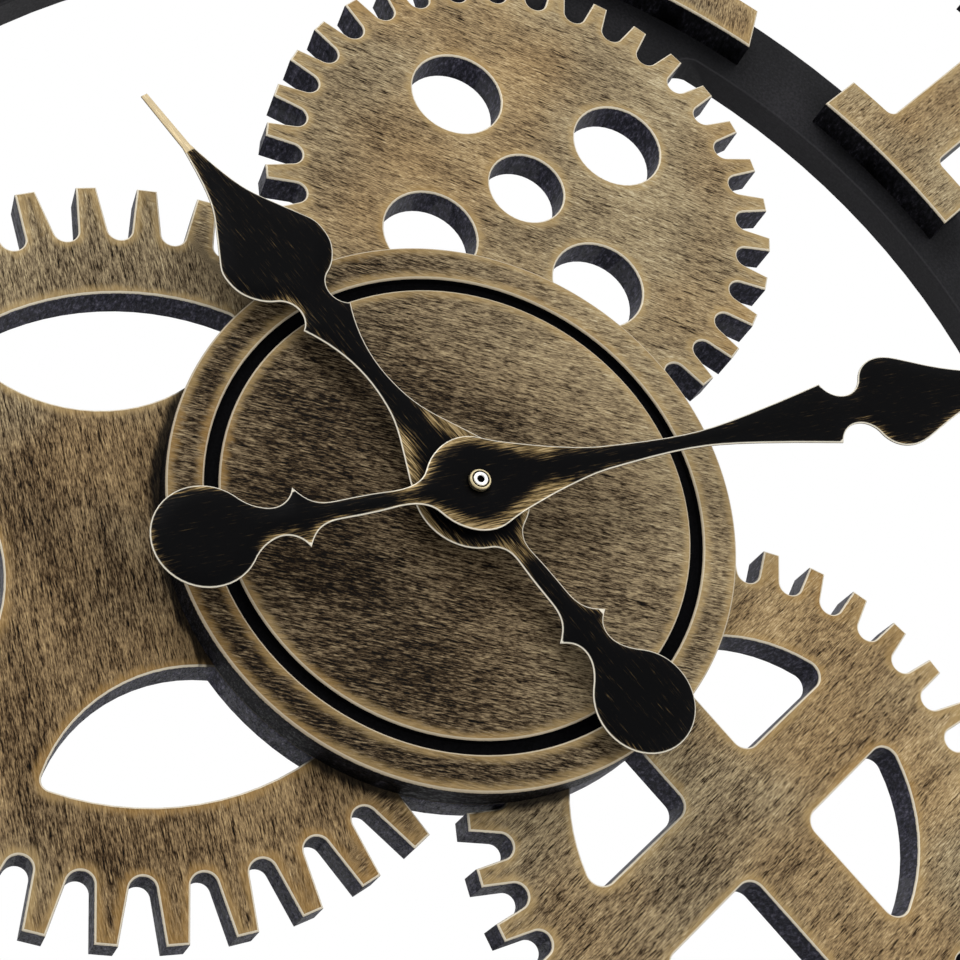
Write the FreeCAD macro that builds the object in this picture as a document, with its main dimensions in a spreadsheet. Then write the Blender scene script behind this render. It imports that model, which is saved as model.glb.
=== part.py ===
"""Wooden gear clock for a wall.

Frame: millimetres, +Z up, +X to the right and -Y towards the viewer. The origin is on the hands' axis
in the plane of the wall. Depths are counted from the wall towards the viewer, so a depth d lies at Y = -d.
"""
import FreeCAD
import Part
import Sketcher
import math
import os

Vector = FreeCAD.Vector
os.makedirs("parts", exist_ok=True)
doc = FreeCAD.newDocument("gear_clock")
sheet = doc.addObject("Spreadsheet::Sheet", "sizes")
nodes = []

# Driving dimensions, in millimetres, degrees and counts.
DIMENSIONS = {
    # wooden boards: ring, gear board and disc lie one on another
    "board_thick": 10.0,
    "ring_inner_radius": 194.0,
    "ring_outer_radius": 221.0,
    "ring_arcs": 6,
    "lug_width": 76.0,
    "lug_overlap": 13.0,
    "lug_fillet": 8.0,
    "disc_radius": 76.2,
    "disc_edge_round": 1.2,
    "groove_inner_radius": 63.1,
    "groove_outer_radius": 66.7,
    "groove_depth": 3.0,
    # top gear
    "top_gear_x": -5.9,
    "top_gear_z": 110.4,
    "top_gear_tip_radius": 76.5,
    "top_gear_root_radius": 65.9,
    "top_gear_teeth": 34,
    "top_gear_first_tooth": 85.6,
    "top_gear_tip_width": 4.6,
    "top_gear_gullet_radius": 3.2,
    "top_gear_centre_hole_radius": 11.25,
    "top_gear_hole_radius": 13.5,
    "top_gear_hole_circle": 35.5,
    "top_gear_hole_angle": 51.0,
    # left gear
    "left_gear_x": -72.3,
    "left_gear_z": -34.7,
    "left_gear_tip_radius": 101.0,
    "left_gear_root_radius": 84.9,
    "left_gear_teeth": 39,
    "left_gear_first_tooth": -85.4,
    "left_gear_tip_width": 5.4,
    "left_gear_gullet_radius": 3.2,
    "left_gear_window_radius": 68.7,
    "left_gear_web_radius": 35.0,
    "left_gear_window_half_angle": 32.0,
    "left_gear_window_angle": 30.0,
    "left_gear_window_round": 2.7,
    # right gear
    "right_gear_x": 95.0,
    "right_gear_z": -49.3,
    "right_gear_tip_radius": 75.5,
    "right_gear_root_radius": 64.9,
    "right_gear_teeth": 34,
    "right_gear_first_tooth": 95.4,
    "right_gear_tip_width": 4.6,
    "right_gear_gullet_radius": 3.2,
    "right_gear_window_radius": 48.3,
    "right_gear_bar_width": 22.7,
    "right_gear_bar_angle": 58.5,
    "right_gear_window_round": 4.0,
    # numerals
    "numeral_overlap": 19.0,
    "numeral_height": 98.0,
    "numeral_band": 15.0,
    "numeral_stem": 20.3,
    "numeral_widest": 98.0,
    "numeral_fillet": 2.7,
    # hands
    "hand_thick": 1.2,
    "hour_hand_depth": 37.0,
    "hour_hand_length": 137.0,
    "hour_hand_half_width": 16.0,
    "hour_hand_angle": 145.9,
    "minute_hand_depth": 42.4,
    "minute_hand_length": 196.7,
    "minute_hand_half_width": 13.7,
    "minute_hand_angle": 34.2,
    "hand_collet_radius": 4.2,
    "hand_collet_height": 1.8,
    "shaft_nut_radius": 2.9,
    "shaft_nut_height": 1.7,
    "shaft_nut_bore": 0.9,
    "shaft_nut_bevel": 0.3,
    # bushing, nut and washers
    "bush_radius": 5.0,
    "bush_bore_radius": 2.55,
    "bush_reach": 4.8,
    "bush_flange_radius": 6.5,
    "bush_flange_thick": 1.0,
    "bush_clearance": 0.1,
    "seal_radius": 12.0,
    "seal_thick": 1.0,
    "washer_radius": 9.0,
    "washer_thick": 0.8,
    "hex_nut_flats": 14.0,
    "hex_nut_height": 2.5,
    # movement case
    "case_side": 56.0,
    "case_thick": 16.0,
    "case_wall": 1.5,
    "case_corner": 3.0,
    "case_clearance": 0.8,
    "bearing_depth": 0.6,
    "pivot_clearance": 0.05,
    # battery bay
    "battery_radius": 7.25,
    "battery_length": 49.2,
    "battery_nub_radius": 2.75,
    "battery_nub_length": 1.0,
    "battery_drop": 18.3,
    "battery_clearance": 0.35,
    "contact_thick": 0.4,
    "contact_width": 9.0,
    "bay_wall": 1.0,
    # wheel train
    "arbor_radius": 0.5,
    "wheel_thick": 0.6,
    "pinion_thick": 1.2,
    "train_distance": 7.5,
    "train_angle": 100.0,
    "intermediate_distance": 7.7,
    "rotor_distance": 6.0,
    "rotor_angle": 195.0,
    "motion_distance": 7.8,
    "motion_angle": -4.0,
    "second_wheel_teeth": 60,
    "second_pinion_teeth": 8,
    "third_wheel_teeth": 60,
    "third_pinion_teeth": 8,
    "centre_wheel_teeth": 64,
    "intermediate_wheel_teeth": 40,
    "intermediate_pinion_teeth": 10,
    "rotor_pinion_teeth": 8,
    "minute_pinion_teeth": 12,
    "motion_wheel_teeth": 36,
    "motion_pinion_teeth": 10,
    "hour_wheel_teeth": 40,
    "second_level": 5.6,
    "third_level": 7.5,
    "intermediate_level": 9.0,
    "centre_level": 10.2,
    "motion_level": 12.2,
    "hour_level": 14.3,
    "minute_shaft_radius": 1.6,
    "minute_shaft_tail": 1.5,
    "minute_shaft_socket": 1.2,
    "socket_play": 0.3,
    "hour_tube_radius": 2.5,
    "hour_tube_stand": 0.3,
    "tube_clearance": 0.05,
    "knob_radius": 6.0,
    "knob_thick": 2.0,
    "knob_gap": 0.3,
    "knob_grips": 18,
    "knob_grip_radius": 0.5,
    # stepping motor
    "magnet_radius": 2.4,
    "magnet_thick": 2.4,
    "magnet_level": 12.6,
    "stator_thick": 1.0,
    "stator_gap": 0.4,
    "stator_rim": 1.3,
    "stator_arm": 3.0,
    "stator_post_radius": 1.2,
    "coil_x": -22.5,
    "coil_z": 8.0,
    "coil_radius": 3.2,
    "coil_length": 18.0,
    "coil_bore_radius": 1.7,
    "coil_core_width": 3.0,
    "coil_core_thick": 1.0,
    "coil_flange_radius": 3.8,
    "coil_flange_thick": 1.0,
    # circuit board and quartz
    "circuit_width": 16.0,
    "circuit_height": 20.0,
    "circuit_thick": 1.0,
    "circuit_x": 17.6,
    "circuit_z": 16.0,
    "quartz_radius": 1.0,
    "quartz_length": 6.0,
    # wall hanger
    "hanger_width": 50.0,
    "hanger_height": 19.0,
    "hanger_thick": 1.5,
    "hanger_fit": 0.2,
    "hanger_head_radius": 4.5,
    "hanger_slot_width": 4.6,
    "hanger_slot_rise": 6.5,
    "hanger_pocket_depth": 6.0,
    "hanger_screw_spacing": 40.0,
    # wood screws
    "screw_radius": 1.75,
    "screw_head_radius": 3.5,
    "screw_head_height": 2.0,
    "screw_sink": 0.5,
    "screw_clearance": 0.1,
    "lug_screw_length": 16.0,
    "lug_screw_spacing": 30.0,
    "disc_screw_length": 15.0,
    "disc_screw_circle": 56.0,
    "disc_screw_count": 4,
    "hanger_screw_radius": 1.4,
    "hanger_screw_head_radius": 2.6,
    "hanger_screw_length": 7.0,
}
for row, (alias, value) in enumerate(DIMENSIONS.items(), start=1):
    sheet.set("A%d" % row, alias)
    sheet.set("B%d" % row, str(value))
    sheet.setAlias("B%d" % row, alias)
doc.recompute()


def size(name):
    """The value of one cell of the sheet."""
    return float(sheet.get(name))


def count(name):
    return int(round(size(name)))


def polar(radius, angle):
    """Point at an angle in degrees from +X towards +Z, in a sketch's plane."""
    return Vector(radius * math.cos(math.radians(angle)), radius * math.sin(math.radians(angle)), 0)


# Depths of the layers, as expressions of the sheet and as numbers.
GEAR_BACK = "sizes.board_thick"
DISC_BACK = "2 * sizes.board_thick"
DISC_FRONT = "3 * sizes.board_thick"
board_thick = size("board_thick")
gear_back = board_thick
disc_back = 2 * board_thick
disc_front = 3 * board_thick
case_front = disc_back - size("seal_thick")
case_back = case_front - size("case_thick")
cover_front = case_back + size("case_wall")
case_inner_front = case_front - size("case_wall")
CASE_BACK = "2 * sizes.board_thick - sizes.seal_thick - sizes.case_thick"


def new_body(label):
    body = doc.addObject("PartDesign::Body", label)
    body.Label = label
    nodes.append(body)
    return body


def plane_of(body, role):
    return [item for item in body.Origin.OriginFeatures if item.Role == role][0]


def new_sketch(body, name, role="XZ_Plane", depth=None):
    """Sketch on one of the body's planes. On XZ_Plane its normal points at the viewer."""
    sketch = body.newObject("Sketcher::SketchObject", name)
    sketch.AttachmentSupport = [(plane_of(body, role), "")]
    sketch.MapMode = "FlatFace"
    if depth is not None:
        sketch.setExpression("AttachmentOffset.Base.z", depth)
    return sketch


def draw(sketch, edges):
    for edge in edges:
        sketch.addGeometry(edge, False)


def line(start, end):
    return Part.LineSegment(start, end)


def polygon(points):
    """Closed outline of straight lines."""
    return [line(start, end) for start, end in zip(points, points[1:] + points[:1])]


def draw_circle(sketch, radius, centre=Vector(0, 0, 0)):
    """Circle whose radius stays bound to the sheet. The radius is an expression."""
    index = sketch.addGeometry(Part.Circle(centre, Vector(0, 0, 1), board_thick), False)
    constraint = sketch.addConstraint(Sketcher.Constraint("Radius", index, board_thick))
    sketch.setExpression("Constraints[%d]" % constraint, radius)


def pad(body, sketch, name, length, reverse=False):
    feature = body.newObject("PartDesign::Pad", name)
    feature.Profile = sketch
    feature.setExpression("Length", length)
    feature.Reversed = reverse
    sketch.Visibility = False
    return feature


def pocket(body, sketch, name, length, towards_viewer=True):
    """Cut from the sketch's plane. A pocket runs against its sketch's normal unless reversed."""
    doc.recompute()
    before = body.Shape.Volume
    feature = body.newObject("PartDesign::Pocket", name)
    feature.Profile = sketch
    feature.setExpression("Length", length)
    feature.Reversed = towards_viewer
    doc.recompute()
    if body.Shape.Volume >= before:
        raise RuntimeError("%s of %s cuts nothing" % (name, body.Label))
    return feature


def revolve(body, points, role):
    """Turn a closed profile about its sketch's upright axis."""
    sketch = new_sketch(body, body.Label + "_profile", role)
    draw(sketch, polygon(points))
    feature = body.newObject("PartDesign::Revolution", body.Label + "_turn")
    feature.Profile = sketch
    feature.ReferenceAxis = (sketch, ["V_Axis"])
    feature.Angle = 360


def turned(label, profile, centre=Vector(0, 0, 0)):
    """Body of revolution about an axis along Y. The profile holds (radius, depth) corners."""
    body = new_body(label)
    revolve(body, [Vector(radius, -depth, 0) for radius, depth in profile], "XY_Plane")
    body.Placement = FreeCAD.Placement(Vector(centre.x, 0, centre.y), FreeCAD.Rotation())
    return body


def ring_profile(inner, outer, back, front):
    return [(inner, back), (outer, back), (outer, front), (inner, front)]


# Gear shapes.
def gear_outline(centre, tip, root, teeth, first_tooth, tip_width, gullet):
    """Flat tipped teeth whose flanks run into round gullets."""
    pitch = 360.0 / teeth
    half_tip = math.degrees(math.asin(tip_width / 2 / tip))
    edges = []
    for number in range(teeth):
        angle = first_tooth + number * pitch
        tip_start = centre + polar(tip, angle - half_tip)
        tip_end = centre + polar(tip, angle + half_tip)
        next_start = centre + polar(tip, angle + pitch - half_tip)
        well = centre + polar(root + gullet, angle + pitch / 2)
        bottom = centre + polar(root, angle + pitch / 2)
        down = tangent_point(tip_end, well, gullet, 1)
        up = tangent_point(next_start, well, gullet, -1)
        edges.append(line(tip_start, tip_end))
        edges.append(line(tip_end, down))
        edges.append(Part.Arc(down, bottom, up))
        edges.append(line(up, next_start))
    return edges


def tangent_point(point, centre, radius, side):
    """Where a line from the point touches the circle."""
    reach = centre - point
    slope = math.asin(radius / reach.Length)
    direction = math.atan2(reach.y, reach.x) + side * slope
    length = math.sqrt(reach.Length ** 2 - radius ** 2)
    return point + Vector(math.cos(direction), math.sin(direction), 0) * length


def rounded_window(corners, arcs, radius):
    """Outline through corners, with a circular arc or a line between each pair, corners rounded off."""
    edges = []
    for index, start in enumerate(corners):
        end = corners[(index + 1) % len(corners)]
        middle = arcs[index]
        edges.append(line(start, end) if middle is None else Part.Arc(start, middle, end))
    wire = Part.Wire([edge.toShape() for edge in edges])
    rounded = Part.Face(wire).extrude(Vector(0, 0, radius))
    upright = [edge for edge in rounded.Edges if abs(edge.tangentAt(edge.FirstParameter).z) > 1 - 1e-6]
    solid = rounded.makeFillet(radius, upright)
    bottom = min(solid.Faces, key=lambda face: face.CenterOfMass.z)
    return [segment_of(edge) for edge in bottom.OuterWire.OrderedEdges]


def segment_of(edge):
    """Line or arc of a sketch, from an edge."""
    start = edge.valueAt(edge.FirstParameter)
    end = edge.valueAt(edge.LastParameter)
    middle = edge.valueAt((edge.FirstParameter + edge.LastParameter) / 2)
    if isinstance(edge.Curve, Part.Line):
        return line(start, end)
    return Part.Arc(start, middle, end)


def gear_centre(name):
    return Vector(size(name + "_gear_x"), size(name + "_gear_z"), 0)


def add_gear(body, name, windows):
    """Pad one toothed gear with its windows onto the gear board."""
    sketch = new_sketch(body, name + "_gear_outline")
    gear = name + "_gear_"
    draw(sketch, gear_outline(gear_centre(name), size(gear + "tip_radius"), size(gear + "root_radius"),
                              count(gear + "teeth"), size(gear + "first_tooth"),
                              size(gear + "tip_width"), size(gear + "gullet_radius")))
    for window in windows:
        draw(sketch, window)
    pad(body, sketch, name + "_gear", GEAR_BACK)


def left_windows():
    """Four lens windows: the outer side runs with the rim, the inner side bulges to the centre."""
    centre = gear_centre("left")
    rim = size("left_gear_window_radius")
    half = size("left_gear_window_half_angle")
    windows = []
    for quarter in range(4):
        angle = size("left_gear_window_angle") + quarter * 90
        ends = [centre + polar(rim, angle - half), centre + polar(rim, angle + half)]
        arcs = [centre + polar(rim, angle), centre + polar(size("left_gear_web_radius"), angle)]
        windows.append(rounded_window(ends, arcs, size("left_gear_window_round")))
    return windows


def right_windows():
    """Four sectors between the two crossed bars."""
    centre = gear_centre("right")
    rim = size("right_gear_window_radius")
    half_bar = size("right_gear_bar_width") / 2
    edge_angle = math.degrees(math.asin(half_bar / rim))
    windows = []
    for quarter in range(4):
        angle = size("right_gear_bar_angle") + quarter * 90
        inner = centre + polar(half_bar * math.sqrt(2), angle + 45)
        first = centre + polar(rim, angle + edge_angle)
        last = centre + polar(rim, angle + 90 - edge_angle)
        arcs = [None, centre + polar(rim, angle + 45), None]
        windows.append(rounded_window([inner, first, last], arcs, size("right_gear_window_round")))
    return windows


def circles(centres, radius):
    return [Part.Circle(centre, Vector(0, 0, 1), radius) for centre in centres]


def top_windows():
    centre = gear_centre("top")
    around = [centre + polar(size("top_gear_hole_circle"), size("top_gear_hole_angle") + quarter * 90)
              for quarter in range(4)]
    return [circles([centre], size("top_gear_centre_hole_radius")),
            circles(around, size("top_gear_hole_radius"))]


# Places of the screws. Each lug points at its gear.
def lug_angle(name):
    centre = gear_centre(name)
    return math.degrees(math.atan2(centre.y, centre.x))


def lug_inner_radius(name):
    """The lug ends a stated overlap inside the gear's root circle."""
    return gear_centre(name).Length + size(name + "_gear_root_radius") - size("lug_overlap")


GEARS = ("top", "left", "right")


def lug_screw_places():
    places = []
    for name in GEARS:
        along = polar(lug_inner_radius(name) + size("lug_overlap") / 2, lug_angle(name))
        across = polar(size("lug_screw_spacing") / 2, lug_angle(name) + 90)
        places += [along + across, along - across]
    return places


def disc_screw_places():
    return [polar(size("disc_screw_circle"), (number + 0.5) * 360 / count("disc_screw_count"))
            for number in range(count("disc_screw_count"))]


def hanger_centre():
    return Vector(0, (size("ring_inner_radius") + size("ring_outer_radius")) / 2, 0)


def hanger_screw_places():
    aside = Vector(size("hanger_screw_spacing") / 2, 0, 0)
    return [hanger_centre() + aside, hanger_centre() - aside]


def rectangle(centre, width, height, angle=0.0):
    """Outline of a rectangle, turned about its centre."""
    right = polar(width / 2, angle)
    up = polar(height / 2, angle + 90)
    return polygon([centre - right - up, centre + right - up, centre + right + up, centre - right + up])


def drill(body, name, places, radius, depth, start=None):
    """Round holes from a depth towards the viewer."""
    sketch = new_sketch(body, name + "_circles", depth=start)
    draw(sketch, circles(places, radius))
    pocket(body, sketch, name, depth)


# Wooden boards.
def make_ring():
    """Ring glued up from equal arcs, whose joints lie under the odd numerals."""
    body = doc.addObject("PartDesign::Body", "ring_board")
    sketch = new_sketch(body, "ring_outline")
    draw_circle(sketch, "sizes.ring_outer_radius")
    draw_circle(sketch, "sizes.ring_inner_radius")
    pad(body, sketch, "ring", GEAR_BACK)
    middle = hanger_centre().Length
    fillet = size("lug_fillet")
    half = size("lug_width") / 2
    foot = math.sqrt(size("ring_inner_radius") ** 2 - (half + fillet) ** 2)
    for name in GEARS:
        sketch = new_sketch(body, name + "_lug_outline")
        turn = lug_angle(name)
        end = lug_inner_radius(name)

        def at(along, across):
            return polar(along, turn) + polar(across, turn + 90)

        corner = fillet * (1 - math.sqrt(0.5))
        draw(sketch, [line(at(end, -half), at(end, half)),
                      line(at(end, half), at(foot - fillet, half)),
                      Part.Arc(at(foot - fillet, half), at(foot - corner, half + corner),
                               at(foot, half + fillet)),
                      line(at(foot, half + fillet), at(middle, half)),
                      line(at(middle, half), at(middle, -half)),
                      line(at(middle, -half), at(foot, -half - fillet)),
                      Part.Arc(at(foot, -half - fillet), at(foot - corner, -half - corner),
                               at(foot - fillet, -half)),
                      line(at(foot - fillet, -half), at(end, -half))])
        pad(body, sketch, name + "_lug", GEAR_BACK)
    sketch = new_sketch(body, "hanger_seat_outline")
    draw(sketch, rectangle(hanger_centre(), size("hanger_width") + 2 * size("hanger_fit"),
                           size("hanger_height") + 2 * size("hanger_fit")))
    pocket(body, sketch, "hanger_seat", "sizes.hanger_thick")
    sketch = new_sketch(body, "hanger_pocket_outline")
    draw(sketch, rectangle(hanger_centre(), 3 * size("hanger_head_radius"),
                           size("hanger_height") - 2 * size("hanger_thick")))
    pocket(body, sketch, "hanger_pocket", "sizes.hanger_pocket_depth")
    clearance = size("screw_clearance")
    drill(body, "hanger_screw_holes", hanger_screw_places(), size("hanger_screw_radius") + clearance,
          "sizes.hanger_screw_length + sizes.screw_clearance")
    drill(body, "lug_screw_holes", lug_screw_places(), size("screw_radius") + clearance, GEAR_BACK)
    drill(body, "lug_screw_sinks", lug_screw_places(), size("screw_head_radius") + clearance,
          "sizes.screw_sink + sizes.screw_head_height + sizes.screw_clearance")
    arcs = []
    for number in range(count("ring_arcs")):
        turn = FreeCAD.Rotation(Vector(0, 1, 0), -number * 360 / count("ring_arcs"))
        sector = primitive("Cylinder", "arc_sector_%d" % number, {
            "Radius": "2 * sizes.ring_outer_radius", "Height": GEAR_BACK, "Angle": "360 / sizes.ring_arcs"},
            FreeCAD.Placement(Vector(0, 0, 0), turn * TO_VIEWER))
        arc = doc.addObject("Part::Common", "ring_arc_%d" % number)
        arc.Base = body
        arc.Tool = sector
        arcs.append(arc)
    ring = doc.addObject("Part::Compound", "ring_frame")
    ring.Links = arcs
    as_node(ring, "ring_frame")


def make_gear_board():
    """One board: a round pad behind the disc and the three gears that grow out of it."""
    body = new_body("gear_board")
    sketch = new_sketch(body, "pad_outline")
    draw_circle(sketch, "sizes.disc_radius")
    pad(body, sketch, "hub_pad", GEAR_BACK)
    add_gear(body, "top", top_windows())
    add_gear(body, "left", left_windows())
    add_gear(body, "right", right_windows())
    sketch = new_sketch(body, "movement_opening_outline")
    opening = size("case_side") + 2 * size("case_clearance")
    draw(sketch, rectangle(Vector(0, 0, 0), opening, opening))
    pocket(body, sketch, "movement_opening", GEAR_BACK)
    clearance = size("screw_clearance")
    drill(body, "lug_screw_holes", lug_screw_places(), size("screw_radius") + clearance,
          "sizes.screw_sink + sizes.lug_screw_length - sizes.board_thick + sizes.screw_clearance")
    drill(body, "disc_screw_holes", disc_screw_places(), size("screw_radius") + clearance, GEAR_BACK)
    drill(body, "disc_screw_sinks", disc_screw_places(), size("screw_head_radius") + clearance,
          "sizes.screw_sink + sizes.screw_head_height + sizes.screw_clearance")
    body.setExpression("Placement.Base.y", "-" + GEAR_BACK)


def make_disc():
    """Round disc with rounded rim, a ring groove and the hole for the bushing."""
    outer = size("disc_radius")
    ease = size("disc_edge_round")
    floor = disc_front - size("groove_depth")
    hole = size("bush_radius") + size("bush_clearance")
    body = turned("dial_disc", [
        (hole, disc_back), (outer, disc_back), (outer, disc_front - ease), (outer - ease, disc_front),
        (size("groove_outer_radius"), disc_front), (size("groove_outer_radius"), floor),
        (size("groove_inner_radius"), floor), (size("groove_inner_radius"), disc_front),
        (hole, disc_front)])
    sketch = new_sketch(body, "disc_screw_circles", depth=DISC_BACK)
    draw(sketch, circles(disc_screw_places(), size("screw_radius") + size("screw_clearance")))
    pocket(body, sketch, "disc_screw_holes",
           "sizes.screw_sink + sizes.disc_screw_length - sizes.board_thick + sizes.screw_clearance")


# Numerals. Each is a foot band and a head band joined by strokes, drawn upright at twelve o'clock.
NUMERALS = ("I", "II", "III", "IIII", "V", "VI", "VII", "VIII", "IX", "X", "XI", "XII")
WIDE_LETTER_SHARE = 2.1
THIN_STROKE_SHARE = 0.45
LETTER_GAP_SHARE = 0.38
BAND_OVERHANG_SHARE = 0.8
FLARE_SHARE = 0.45


def numeral_layout(letters):
    """Width of a stem and the half width of the bands for one numeral."""
    units = sum(1 if letter == "I" else WIDE_LETTER_SHARE for letter in letters)
    units += (len(letters) - 1) * LETTER_GAP_SHARE + 2 * BAND_OVERHANG_SHARE
    stem = min(size("numeral_stem"), size("numeral_widest") / units)
    return stem, stem * units / 2


def band(inner, outer, half):
    """Outline of a stretch of a flat ring, cut off by two upright lines."""
    low = math.sqrt(inner ** 2 - half ** 2)
    high = math.sqrt(outer ** 2 - half ** 2)
    return [Part.Arc(Vector(-half, low, 0), Vector(0, inner, 0), Vector(half, low, 0)),
            line(Vector(half, low, 0), Vector(half, high, 0)),
            Part.Arc(Vector(half, high, 0), Vector(0, outer, 0), Vector(-half, high, 0)),
            line(Vector(-half, high, 0), Vector(-half, low, 0))]


def stem_outline(middle, half, low, high, flare):
    """Straight stroke whose two ends flare into the bands with round fillets."""
    short = flare * (1 - math.sqrt(0.5))
    edges = []
    for side in (1, -1):
        edges.append(Part.Arc(Vector(middle + side * (half + flare), low, 0),
                              Vector(middle + side * (half + short), low + short, 0),
                              Vector(middle + side * half, low + flare, 0)))
        edges.append(line(Vector(middle + side * half, low + flare, 0),
                          Vector(middle + side * half, high - flare, 0)))
        edges.append(Part.Arc(Vector(middle + side * half, high - flare, 0),
                              Vector(middle + side * (half + short), high - short, 0),
                              Vector(middle + side * (half + flare), high, 0)))
    for level in (low, high):
        edges.append(line(Vector(middle - half - flare, level, 0), Vector(middle + half + flare, level, 0)))
    return edges


def slanted(low_left, low_right, high_left, high_right, low, high):
    return polygon([Vector(low_left, low, 0), Vector(low_right, low, 0),
                    Vector(high_right, high, 0), Vector(high_left, high, 0)])


def make_numeral(hour):
    letters = NUMERALS[hour - 1]
    stem, half = numeral_layout(letters)
    thin = stem * THIN_STROKE_SHARE
    gap = stem * LETTER_GAP_SHARE
    wide = stem * WIDE_LETTER_SHARE
    inner = size("ring_outer_radius") - size("numeral_overlap")
    outer = inner + size("numeral_height")
    depth = size("numeral_band")
    flare = min(size("numeral_fillet"), gap * FLARE_SHARE)
    head = outer - depth
    body = new_body("numeral_%02d" % hour)
    sketch = new_sketch(body, "foot_outline")
    draw(sketch, band(inner, inner + depth, half))
    pad(body, sketch, "foot_band", GEAR_BACK)
    thick_strokes = []
    thin_strokes = []
    left = -half + stem * BAND_OVERHANG_SHARE
    for letter in letters:
        if letter == "I":
            middle = left + stem / 2
            foot = math.sqrt((inner + depth) ** 2 - (abs(middle) + stem / 2 + flare) ** 2)
            thick_strokes.append(stem_outline(middle, stem / 2, foot, head, flare))
            left += stem + gap
            continue
        right = left + wide
        foot = math.sqrt((inner + depth) ** 2 - max(abs(left), abs(right)) ** 2)
        if letter == "X":
            thick_strokes.append(slanted(right - stem, right, left, left + stem, foot, head))
            thin_strokes.append(slanted(left, left + thin, right - thin, right, foot, head))
        else:
            start = (left + right - thin) / 2
            thick_strokes.append(slanted(start, start + stem, left, left + stem, foot, head))
            thin_strokes.append(slanted(start, start + thin, right - thin, right, foot, head))
        left = right + gap
    for name, strokes in (("thick_strokes", thick_strokes), ("thin_strokes", thin_strokes)):
        if strokes:
            sketch = new_sketch(body, name + "_outline")
            for stroke in strokes:
                draw(sketch, stroke)
            pad(body, sketch, name, GEAR_BACK)
    sketch = new_sketch(body, "head_outline")
    draw(sketch, band(head, outer, half))
    pad(body, sketch, "head_band", GEAR_BACK)
    body.Placement = FreeCAD.Placement(Vector(0, -gear_back, 0),
                                       FreeCAD.Rotation(Vector(0, 1, 0), hour * 360 / len(NUMERALS)))


# Hands. Half outlines from the tail to the tip: shares of the hand's length along it and of the half
# width of its spade across it. Smooth stretches are split at the barbs, where the outline has corners.
HOUR_TAIL_CENTRE_SHARE = -0.4964
HOUR_NECK_SHARES = ((-0.4224, 0.571), (-0.399, 0.375), (-0.3796, 0.283), (-0.3601, 0.258),
                    (-0.3406, 0.313), (-0.3285, 0.417), (-0.3212, 0.51))
HOUR_TAIL_BAR_SHARES = ((-0.3212, 0.51), (-0.3114, 0.396), (-0.2968, 0.275), (-0.2774, 0.2),
                        (-0.2433, 0.175), (-0.1703, 0.158), (-0.1314, 0.175), (-0.1168, 0.25),
                        (-0.1044, 0.4))
HOUR_EYE_SHARES = ((-0.1044, 0.4), (0.0, 0.979), (0.0637, 0.8125))
HOUR_BAR_SHARES = ((0.0637, 0.8125), (0.0973, 0.667), (0.146, 0.45), (0.1946, 0.267), (0.2433, 0.179),
                   (0.292, 0.158), (0.3406, 0.208), (0.3893, 0.333), (0.4307, 0.5))
HOUR_NOTCH_SHARES = ((0.4307, 0.5), (0.4672, 0.323), (0.5061, 0.542))
HOUR_SPADE_SHARES = ((0.5061, 0.542), (0.5158, 0.6875), (0.5353, 0.854), (0.5596, 0.967), (0.5839, 1.0),
                     (0.6083, 0.979), (0.6326, 0.867), (0.6813, 0.604), (0.7299, 0.367),
                     (0.7786, 0.229), (0.8273, 0.1375), (0.8662, 0.075))
MINUTE_TAIL_CENTRE_SHARE = -0.3644
MINUTE_NECK_SHARES = ((-0.3148, 0.643), (-0.2983, 0.415), (-0.2847, 0.317), (-0.2712, 0.278),
                      (-0.2576, 0.322), (-0.2475, 0.429), (-0.2407, 0.585))
MINUTE_TAIL_BAR_SHARES = ((-0.2407, 0.585), (-0.2339, 0.439), (-0.2237, 0.293), (-0.2102, 0.205),
                          (-0.1864, 0.18), (-0.1356, 0.176), (-0.0915, 0.18), (-0.0814, 0.22),
                          (-0.0678, 0.341), (-0.0576, 0.537), (-0.0441, 0.732), (-0.0169, 0.927),
                          (-0.0068, 0.951), (0.0102, 0.937), (0.0339, 0.805), (0.0678, 0.634),
                          (0.1017, 0.488), (0.1356, 0.366), (0.1695, 0.268), (0.2034, 0.22),
                          (0.2712, 0.161), (0.3390, 0.171), (0.4068, 0.293), (0.4746, 0.463),
                          (0.5441, 0.659))
MINUTE_NOTCH_SHARES = ((0.5441, 0.659), (0.5763, 0.317), (0.6102, 0.634))
MINUTE_SPADE_SHARES = ((0.6102, 0.634), (0.6169, 0.78), (0.6305, 0.927), (0.6508, 1.0), (0.6712, 0.966),
                       (0.6949, 0.839), (0.7288, 0.634), (0.7627, 0.463), (0.7966, 0.332),
                       (0.8305, 0.229), (0.8644, 0.151), (0.8983, 0.088))
NEEDLE_SHARE = 0.06


def scaled(shares, length, half_width):
    return [Vector(along * length, across * half_width, 0) for along, across in shares]


def smooth(points):
    curve = Part.BSplineCurve()
    curve.interpolate(points)
    return curve


def mirrored(points):
    return [Vector(point.x, -point.y, 0) for point in points]


def tail_arc(joint, length, half_width, centre_share):
    """Round end of the tail, from one side's joint round to the other."""
    side = Vector(joint[0] * length, joint[1] * half_width, 0)
    centre = Vector(centre_share * length, 0, 0)
    end = Vector(centre.x - (side - centre).Length, 0, 0)
    return Part.Arc(side, end, Vector(side.x, -side.y, 0))


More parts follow.
